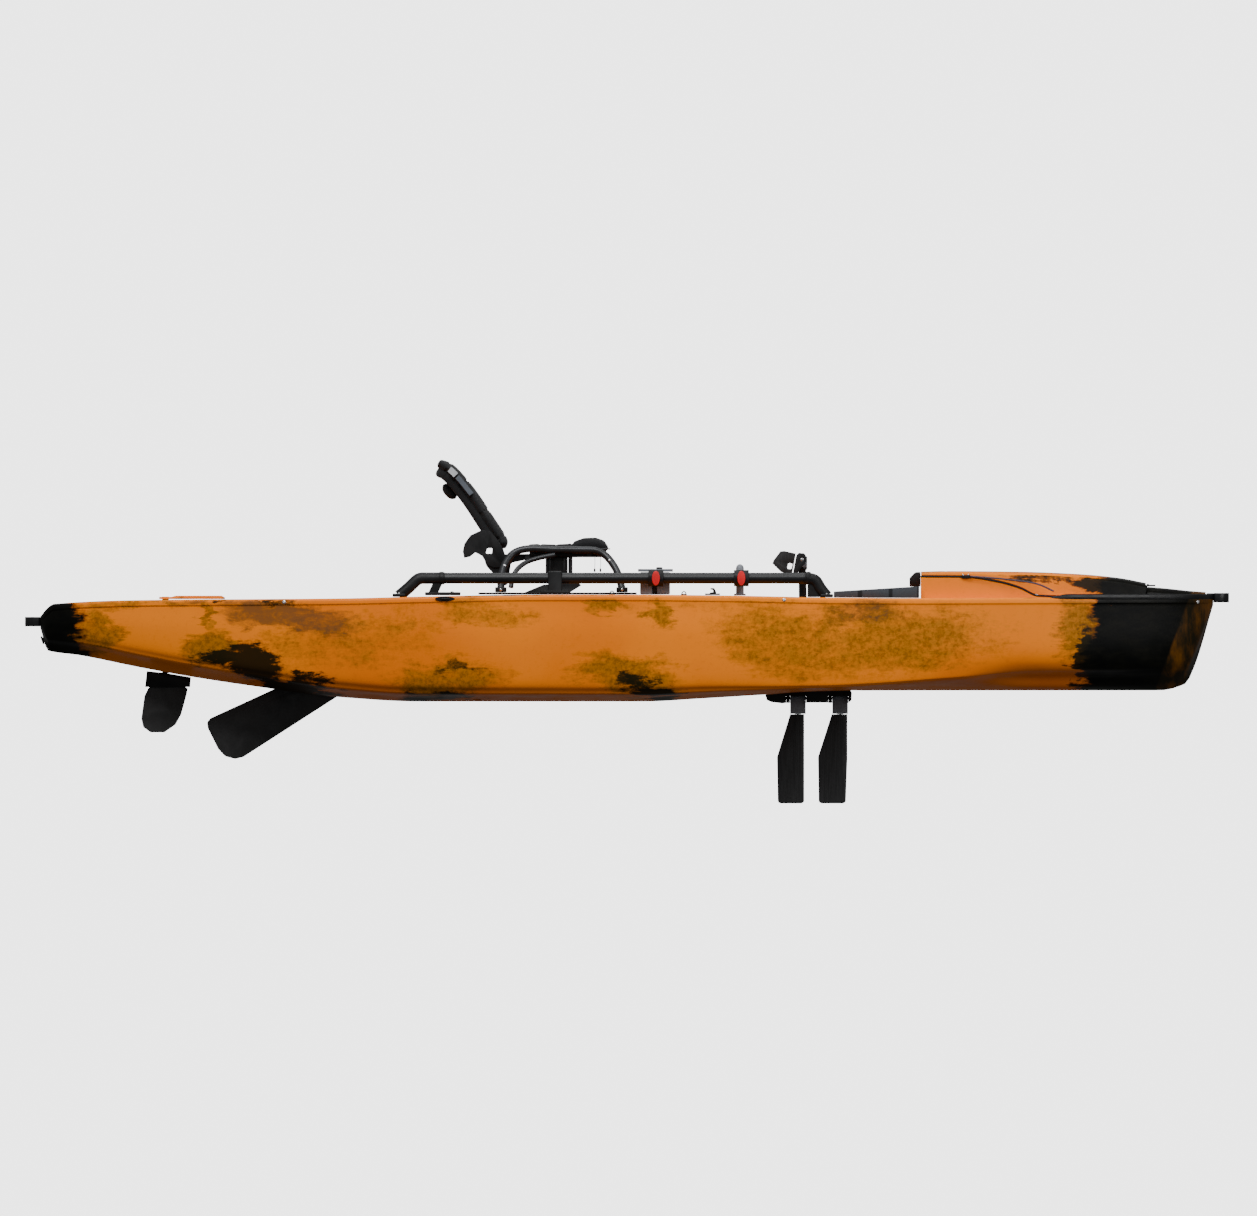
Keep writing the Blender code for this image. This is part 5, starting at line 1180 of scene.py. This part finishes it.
def back_half(t):
    return 0.222 - 0.050 * t * t


def build_back_pad():
    """The padded back, curved like its frame, with sewn channels, a mesh middle and plain side patches."""
    rings = []
    count = 26
    for k in range(count + 1):
        t = k / count
        ends = min(1.0, math.sin(math.pi * min(max(t, 0.02), 0.98)) * 3.2) ** 0.5
        half = (back_half(t) - 0.002) * (0.80 + 0.20 * ends)
        slim = 0.45 if t < 0.5 else 0.70
        thick = (BACK_PAD_THICK / 2 - 0.0022) * (slim + (1.0 - slim) * ends)
        oval = []
        for a in turns(28):
            cy, cn = math.cos(a), math.sin(a)
            oval.append((half * math.copysign(abs(cy) ** 0.42, cy), thick * math.copysign(abs(cn) ** 0.62, cn)))
        rings.append([back_point(t, BACK_PAD_THICK / 2 + n, y) for y, n in oval])
    pad = loft("back_rest_pad", rings, FABRIC, 60)
    inflate(pad, 0.0060, 3.5, 0.0050)
    line = [back_point(k / 60, BACK_PAD_THICK / 2) for k in range(61)]
    for v in pad.data.vertices:
        near = min(range(61), key=lambda k: (line[k].x - v.co.x) ** 2 + (line[k].z - v.co.z) ** 2)
        t = near / 60
        ahead = (line[min(near + 1, 60)] - line[max(near - 1, 0)]).normalized()
        normal = Vector((-ahead.z, 0.0, ahead.x))
        out = (v.co - line[near]).dot(normal)
        limit = back_half(t)
        deep = 0.0
        for channel in (0.24, 0.46, 0.68, 0.86):
            deep = max(deep, 0.0042 * math.exp(-((t - channel) / 0.012) ** 2))
        for seam in (-0.52, 0.52):
            deep = max(deep, 0.0038 * math.exp(-((v.co.y / limit - seam) / 0.020) ** 2))
        v.co -= normal * math.copysign(min(deep, abs(out) * 0.5), out)
        behind = out - (BACK_PAD_THICK / 2 + 0.0008)
        if behind > 0.0:
            v.co -= normal * behind
    shape = bmesh.new()
    shape.from_mesh(pad.data)
    pad.data.materials.append(MESH_FABRIC)
    for face in shape.faces:
        centre = face.calc_center_median()
        near = min(range(61), key=lambda k: (line[k].x - centre.x) ** 2 + (line[k].z - centre.z) ** 2)
        if abs(centre.y) < 0.50 * back_half(near / 60) and 0.06 < near / 60 < 0.86:
            face.material_index = 1
    shape.to_mesh(pad.data)
    shape.free()
    ride(pad, "seat_back", ["back_pad"])
    for side, sign in sides():  # the two fabric labels' plain patches near the top edge
        for k, (first, last, paint) in enumerate(((0.755, 0.835, PALE_GREY), (0.600, 0.742, SLATE_GREY))):
            patch = []
            for j in range(9):
                t = first + (last - first) * j / 8
                y = sign * (back_half(t) + 0.0016)
                across = 0.0105 if k == 0 else 0.0085
                low, high = (back_point(t, BACK_PAD_THICK / 2 + way * across, y) for way in (-1, 1))
                inner = Vector((0, -sign * 0.0030, 0))
                patch.append([low, high, high + inner, low + inner])
            ride(soften(loft(f"back_patch_{side}_{k}", patch, paint, 30), 0.0008, 2), "seat_back")


def build_back_frame():
    """The bent tube behind the pad, its cross tube and clips, and the fabric sleeves over it."""
    parts = []
    behind = [back_point(0.05 + 0.80 * k / 24, BACK_PAD_THICK + 0.0115) for k in range(25)]
    right = [Vector((p.x, -0.185 + 0.045 * (k / 24) ** 2, p.z)) for k, p in enumerate(behind)]
    high = behind[-1]
    arch = blend_line([right[-1], high + Vector((-0.0135, -0.112, 0.0055)), high + Vector((-0.0155, 0.0, 0.0075)),
                       high + Vector((-0.0135, 0.112, 0.0055)), Vector((high.x, 0.140, high.z))], 6)[1:-1]
    left = [Vector((p.x, -p.y, p.z)) for p in reversed(right)]
    parts.append(tube("bent", right + arch + left, 0.0105, SEAT_METAL, 20))
    cross = behind[0] + Vector((0, 0, 0.012))
    parts.append(tube("cross", [(cross.x, -0.2302 + 0.4604 * k / 8, cross.z) for k in range(9)], 0.008,
                      SEAT_METAL, 18))
    for side, sign in sides():  # the cover's sleeve that holds the tube against the pad
        rings = []
        for k in range(3, 25):
            p = right[k]
            ahead = (right[min(k + 1, 24)] - right[k - 1]).normalized()
            normal = Vector((-ahead.z, 0.0, ahead.x)).normalized()
            swell = 1.0 + 0.05 * math.sin(k * 1.7)
            middle = Vector((p.x, sign * abs(p.y), p.z)) - 0.0075 * normal
            rings.append([middle + 0.0145 * swell * math.cos(a) * Vector((0, 1, 0)) + 0.0205 * math.sin(a) * normal
                          for a in turns(20)])
        ride(loft(f"frame_sleeve_{side}", rings, FABRIC, 60), "seat_back")
    rings = []
    top = [right[-2], right[-1]] + arch + [left[0], left[1]]
    normal = Vector((-0.72, 0.0, -0.69))
    for k, p in enumerate(top):
        ahead = (top[min(k + 1, len(top) - 1)] - top[max(k - 1, 0)]).normalized()
        away = ahead.cross(normal).normalized()
        middle = p - 0.0090 * normal
        rings.append([middle + 0.0150 * math.cos(a) * away + 0.0215 * math.sin(a) * normal
                      for a in turns(20)])
    ride(loft("frame_sleeve_top", rings, FABRIC, 60), "seat_back")
    for sign in (-1, 1):
        for k in (7, 16):
            p = right[k]
            parts.append(turned("clip", (p.x, sign * abs(p.y), p.z), (right[k + 1] - p).normalized(),
                                [(-0.011, 0.0107), (-0.0098, 0.0122), (0.0098, 0.0122), (0.011, 0.0107)], BLACK, 20))
    ride(merge("back_rest_frame", parts), "seat_back", ["back_frame"])


def build_back_roll():
    """The small padded roll behind the top of the back."""
    low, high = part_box("back_roll")
    slope, normal = Vector((-0.66, 0.0, 0.75)), Vector((-0.75, 0.0, -0.66))
    middle = (low + high) / 2 - 0.0055 * normal
    rings = []
    for y, size in ((-0.1125, 0.50), (-0.108, 0.78), (-0.100, 0.93), (-0.085, 0.97), (-0.03, 0.97), (0.03, 0.97),
                    (0.085, 0.97), (0.100, 0.93), (0.108, 0.78), (0.1125, 0.50)):
        rings.append([middle + size * (0.0345 * math.cos(a) * slope + 0.0175 * math.sin(a) * normal)
                      + Vector((0, y, 0)) for a in turns(24)])
    roll = loft("lumbar_roll", rings, MESH_FABRIC, 60)
    inflate(roll, 0.0045, 3.0, 0.0022)
    for v in roll.data.vertices:
        offset = v.co - middle
        for line in (-0.055, 0.055):
            squeeze = 0.14 * math.exp(-((offset.y - line) / 0.006) ** 2)
            v.co -= Vector((offset.x, 0, offset.z)) * squeeze
    ride(roll, "seat_back", ["back_roll"])


# ---------------------------------------------------------------- fins
def build_fin(name):
    """A flexible blade, thickest just behind its leading edge, with moulded ribs."""
    lead_top, lead_low, trail_top, trail_mid, trail_tip = FIN_EDGES[name]
    bend_z, mid_z = -0.20, -0.1922
    profile = smooth([(0.0, 0.0020), (0.05, 0.0050), (0.12, 0.0068), (0.30, 0.0074), (0.55, 0.0058), (0.80, 0.0032),
                      (1.0, 0.0013)])
    shares = [0.0, 0.012, 0.03, 0.06, 0.10, 0.16, 0.22, 0.30, 0.38, 0.46, 0.55, 0.64, 0.72, 0.80, 0.88, 0.94, 0.975,
              1.0]
    count = 90
    rings = []
    for k in range(count + 1):
        z = FIN_TOP + (FIN_TIP - FIN_TOP) * k / count
        lead = lead_top + (lead_low - lead_top) * max(0.0, (z - bend_z) / (FIN_TIP - bend_z))
        if z > mid_z:
            trail = trail_top + (trail_mid - trail_top) * (z - FIN_TOP) / (mid_z - FIN_TOP)
        else:
            trail = trail_mid + (trail_tip - trail_mid) * (z - mid_z) / (FIN_TIP - mid_z)
        near_tip = min(1.0, (z - FIN_TIP) / 0.010)
        round_off = 0.010 * (1 - math.sqrt(max(0.0, 1 - (1 - near_tip) ** 2)))
        lead, trail = lead - round_off, trail + round_off
        taper = (1.0 if z > -0.24 else 1.0 - 0.42 * (-0.24 - z) / 0.113) * (0.35 + 0.65 * min(1.0, near_tip * 1.6))
        near = []
        for s in shares:
            thick = profile(s) * taper
            if s > 0.42:  # moulded ribs along the flexible part
                rib = math.sin((z + 0.34 * s) * 2 * math.pi / 0.0185)
                thick *= 1.0 + 0.16 * max(0.0, rib) * min(1.0, (s - 0.42) / 0.12) * min(1.0, (1.0 - s) / 0.08)
            if s == 0.0:
                thick = 0.0009 * taper
            near.append((lead - s * (lead - trail), -thick - 0.0001))
        rings.append([Vector((u, v, z)) for u, v in near] + [Vector((u, -v, z)) for u, v in reversed(near)])
    fin = loft(f"flexible_fin_{name}", rings, RUBBER, 50)
    ride(fin, f"fin_{name}", [f"fin_{name}"])


# ---------------------------------------------------------------- small things on the deck
def screw(name, spot, axis, radius=0.005):
    """A pan-head screw with a cross recess."""
    head = turned(name, spot, axis, [(-0.0012, radius), (0.0006, radius), (0.0017, 0.82 * radius),
                                     (0.0023, 0.45 * radius)], STEEL, 24)
    axis = Vector(axis).normalized()
    across = axis.orthogonal().normalized()
    for way in (across, axis.cross(across)):
        arm, wide = way * radius * 0.55, axis.cross(way) * radius * 0.10
        shape = bmesh.new()
        loops = []
        for level in (0.0010, 0.0040):
            middle = Vector(spot) + axis * level
            loops.append([shape.verts.new(middle + a + b) for a, b in
                          ((-arm, -wide), (arm, -wide), (arm, wide), (-arm, wide))])
        for i in range(4):
            j = (i + 1) % 4
            shape.faces.new((loops[0][i], loops[0][j], loops[1][j], loops[1][i]))
        shape.faces.new(loops[0])
        shape.faces.new(loops[1])
        carve(head, [from_bmesh("cross", shape, STEEL)])
    return head


def build_gunwale_fittings():
    """Screws along the gunwale and an oval pad eye on each side."""
    heads = []
    for side, sign in sides():
        for x, drop in ((-1.188, 0.011), (0.544, 0.011), (1.977, 0.016)):
            y = half_beam(x)
            ahead = Vector((1.0, (half_beam(x + 0.01) - half_beam(x - 0.01)) / 0.02, 0.0)).normalized()
            out = Vector((-ahead.y, 1.0, 0.0)).normalized()
            out.y *= sign
            heads.append(screw("gunwale_screw", (x, sign * (y + 0.0009), sheer(x) - drop), out, 0.0062))
    ride(merge("gunwale_screws", heads), "hull")
    for side, sign in sides():
        x0, x1 = -0.665, -0.596
        y = sign * (half_beam(-0.63) + 0.0008)
        z = sheer(-0.63) - 0.0095
        oval = [(x0 + (x1 - x0) * (0.5 + 0.5 * math.cos(a)), z + 0.0085 * math.sin(a))
                for a in turns(32)]
        low, high = sorted((y, y + sign * 0.0034))
        plate = soften(prism("pad_eye", oval, "y", low, high, BLACK), 0.0012, 2)
        eye = tube("eye", [(x, y + sign * out, z) for x, out in
                           ((-0.646, 0.003), (-0.642, 0.0075), (-0.6305, 0.0095), (-0.619, 0.0075),
                            (-0.615, 0.003))], 0.0024, BLACK, 14)
        ride(merge(f"pad_eye_{side}", [plate, eye]), "hull")


def build_foam_pads():
    """Grooved foam on the cockpit floor and the rear well floor."""
    for side, sign in sides():
        outline = rounded([(-0.46, sign * 0.132), (0.37, sign * 0.132), (0.37, sign * 0.262), (-0.46, sign * 0.262)],
                          0.03, 6)
        pad = soften(prism(f"floor_pad_{side}", tidy_outline(outline), "z", FLOOR_Z + 0.0002, FLOOR_Z + 0.0042, FOAM),
                     0.0016, 2)
        ride(pad, "hull")
        outline = rounded([(-1.42, sign * 0.045), (-0.76, sign * 0.045), (-0.76, sign * 0.272),
                           (-1.10, sign * 0.235), (-1.42, sign * 0.165)], 0.03, 6)
        pad = soften(prism(f"well_pad_{side}", tidy_outline(outline), "z", REAR_WELL_Z + 0.0002, REAR_WELL_Z + 0.0042,
                           FOAM), 0.0016, 2)
        ride(pad, "hull")


def build_console_details():
    """The black insert in the console's gap and the small knob on its lever."""
    low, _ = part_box("console")
    insert = block("console_insert", (0.0872, low.y + 0.004, sheer(0.09) + 0.001), (0.1038, low.y + 0.049, 0.4378),
                   BLACK, 0.001)
    ride(insert, "hull")
    low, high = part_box("steer_lever")
    knob = turned("steer_knob", (0.112, (low.y + high.y) / 2, high.z - 0.0008), (0, 0, 1),
                  [(0.0, 0.0100), (0.0014, 0.0112), (0.0050, 0.0112), (0.0068, 0.0095), (0.0074, 0.0055)],
                  BLACK_SATIN, 32)
    ride(knob, "steer_lever")


def build_drive_details():
    """Bushes, clips and slot covers on the pod, caps and knobs on the cranks, plugs at the rails' aft joints."""
    for name, x in MASTS.items():
        bushes = [turned("bush", (x - 0.0406, 0, SWING_Z), (1, 0, 0),
                         [(0.0, 0.0150), (0.0010, 0.0166), (0.0118, 0.0166), (0.0126, 0.0150)], BLACK, 32),
                  turned("washer", (x + 0.0278, 0, SWING_Z), (1, 0, 0), [(0.0, 0.0166), (0.0009, 0.0166)], BLACK, 32)]
        ride(merge(f"shaft_bushes_{name}", bushes), "pod")
        clip = soften(prism("clip", [(x - 0.012, -0.0108), (x + 0.012, -0.0108), (x + 0.012, 0.0108),
                                     (x - 0.012, 0.0108)], "z", -0.0437, -0.0385, PALE_GREY), 0.0008)
        ride(merge(f"mast_clip_{name}", [clip]), f"mast_{name}")
        skirts = [soften(prism("skirt", [(x - 0.0420, 0.0185), (x + 0.0300, 0.0185), (x + 0.0300, 0.0335),
                                         (x - 0.0420, 0.0335)], "y", low, low + 0.0023, BLACK), 0.0005)
                  for low in (-0.0398, 0.0375)]  # close the sides of the drum's slot above its swing
        ride(merge(f"pod_skirts_{name}", skirts), "pod")
    for side, sign in sides():
        cap = turned(f"pedal_cap_{side}", (PEDAL[0], sign * (PEDAL_Y + 0.0452), PEDAL[1]), (0, sign, 0),
                     [(-0.001, 0.0085), (0.0015, 0.0085), (0.0030, 0.0062)], STEEL, 24)
        knob = turned(f"adjust_knob_{side}", (PEDAL[0] + 0.008, sign * (CRANK_Y + 0.0118), 0.4735), (0, sign, 0),
                      [(0.0, 0.0090), (0.0012, 0.0102), (0.0060, 0.0102), (0.0076, 0.0080)], GREY, 28)
        ride(cap, f"crank_{side}")
        collar = turned(f"rail_collar_{side}", (RAIL[0], sign * RAIL_Y, RAIL_Z), (1, 0, 0),
                        [(-0.0060, 0.0174), (-0.0052, 0.0184), (0.0052, 0.0184), (0.0060, 0.0174)], BLACK, 40)
        ride(collar, "hull")
        ride(knob, f"crank_{side}")


def build_deck_fittings():
    """The bar that closes the gap ahead of the lid, the cleat's screws and two low line guides."""
    bar = prism("hinge_bar", [(1.7960, -0.115), (1.8025, -0.115), (1.8025, 0.115), (1.7960, 0.115)], "z", 0.3720,
                0.4035, BLACK)
    ride(soften(bar, 0.0008), "hull")
    low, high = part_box("cord_cleat")
    for k, x in enumerate((low.x + 0.007, high.x - 0.007)):
        ride(screw(f"cleat_screw_{k}", (x, (low.y + high.y) / 2, high.z), (0, 0, 1), 0.0032), "hull")
    for k, (x, y) in enumerate(((-0.052, -0.452), (0.197, -0.430))):
        guide = [turned("guide_base", (x, y, sheer(x) + 0.0001), (0, 0, 1),
                        [(0.0, 0.0105), (0.0024, 0.0105), (0.0040, 0.0090)], BLACK, 24),
                 tube("guide_loop", [(x - 0.007, y, sheer(x) + 0.003), (x - 0.006, y, sheer(x) + 0.009),
                                     (x, y, sheer(x) + 0.0125), (x + 0.006, y, sheer(x) + 0.009),
                                     (x + 0.007, y, sheer(x) + 0.003)], 0.0020, BLACK, 12)]
        ride(merge(f"line_guide_{k}", guide), "hull")


# ---------------------------------------------------------------- pieces carried over from the CAD
CARRIED = {  # paint, bevel width, and the nodes that take them
    "fittings": (BLACK, 0.0018, ["cleat_hook", "cord_cleat", "hatch_hinge", "rail_bracket_stbd", "rail_bracket_port",
                                 "clamp_aft", "clamp_fwd", "seat_track_stbd", "seat_track_port", "back_bracket_stbd",
                                 "back_bracket_port", "drain_plug", "drive_spine", "bin_lid"]),
    "handles": (BLACK_SATIN, 0.0040, ["bow_handle", "stern_handle", "hatch_latch"]),
    "tiller_hump": (CAMO, 0.0040, ["tiller"]),
    "drive": (BLACK_SATIN, 0.0020, ["crank_stbd", "crank_port", "pedal_stbd", "pedal_port", "pod_plate",
                                    "rudder_stock"]),
    "drums": (GREY, 0.0014, ["drum_fwd", "drum_aft", "mast_fwd", "mast_aft"]),
    "blades": (BLADE, 0.0046, ["rudder_blade", "skeg"]),
    "straps": (TRIM_RUBBER, 0.0010, ["pedal_strap_stbd", "pedal_strap_port"]),
    "greys": (GREY, 0.0022, ["console", "steer_lever", "direction_post"]),
    "reds": (RED, 0.0028, ["cam_aft", "cam_fwd"]),
    "steels": (STEEL, 0.0006, ["skeg_pin", "swing_shaft"]),
    "foams": (FOAM, 0.0030, ["deck_ramp_stbd", "deck_ramp_port"]),
}


def finish_carried():
    """Materials and softened edges for the CAD nodes whose shape stays."""
    for paint, width, names in CARRIED.values():
        for name in names:
            node = nodes[name]
            node.data.materials.clear()
            node.data.materials.append(paint)
            node.data.shade_smooth()
            node.data.set_sharp_from_angle(angle=math.radians(32))
            soften(node, width)


def main():
    build_stage()
    build_hatch_cord()
    build_hull()
    build_hatch()
    build_hatch_seal()
    build_bow_trim()
    build_rails()
    build_seat_frame()
    build_seat_pan()
    build_back_pad()
    build_back_frame()
    build_back_roll()
    for name in MASTS:
        build_fin(name)
    build_gunwale_fittings()
    build_foam_pads()
    build_console_details()
    build_drive_details()
    build_deck_fittings()
    finish_carried()


main()
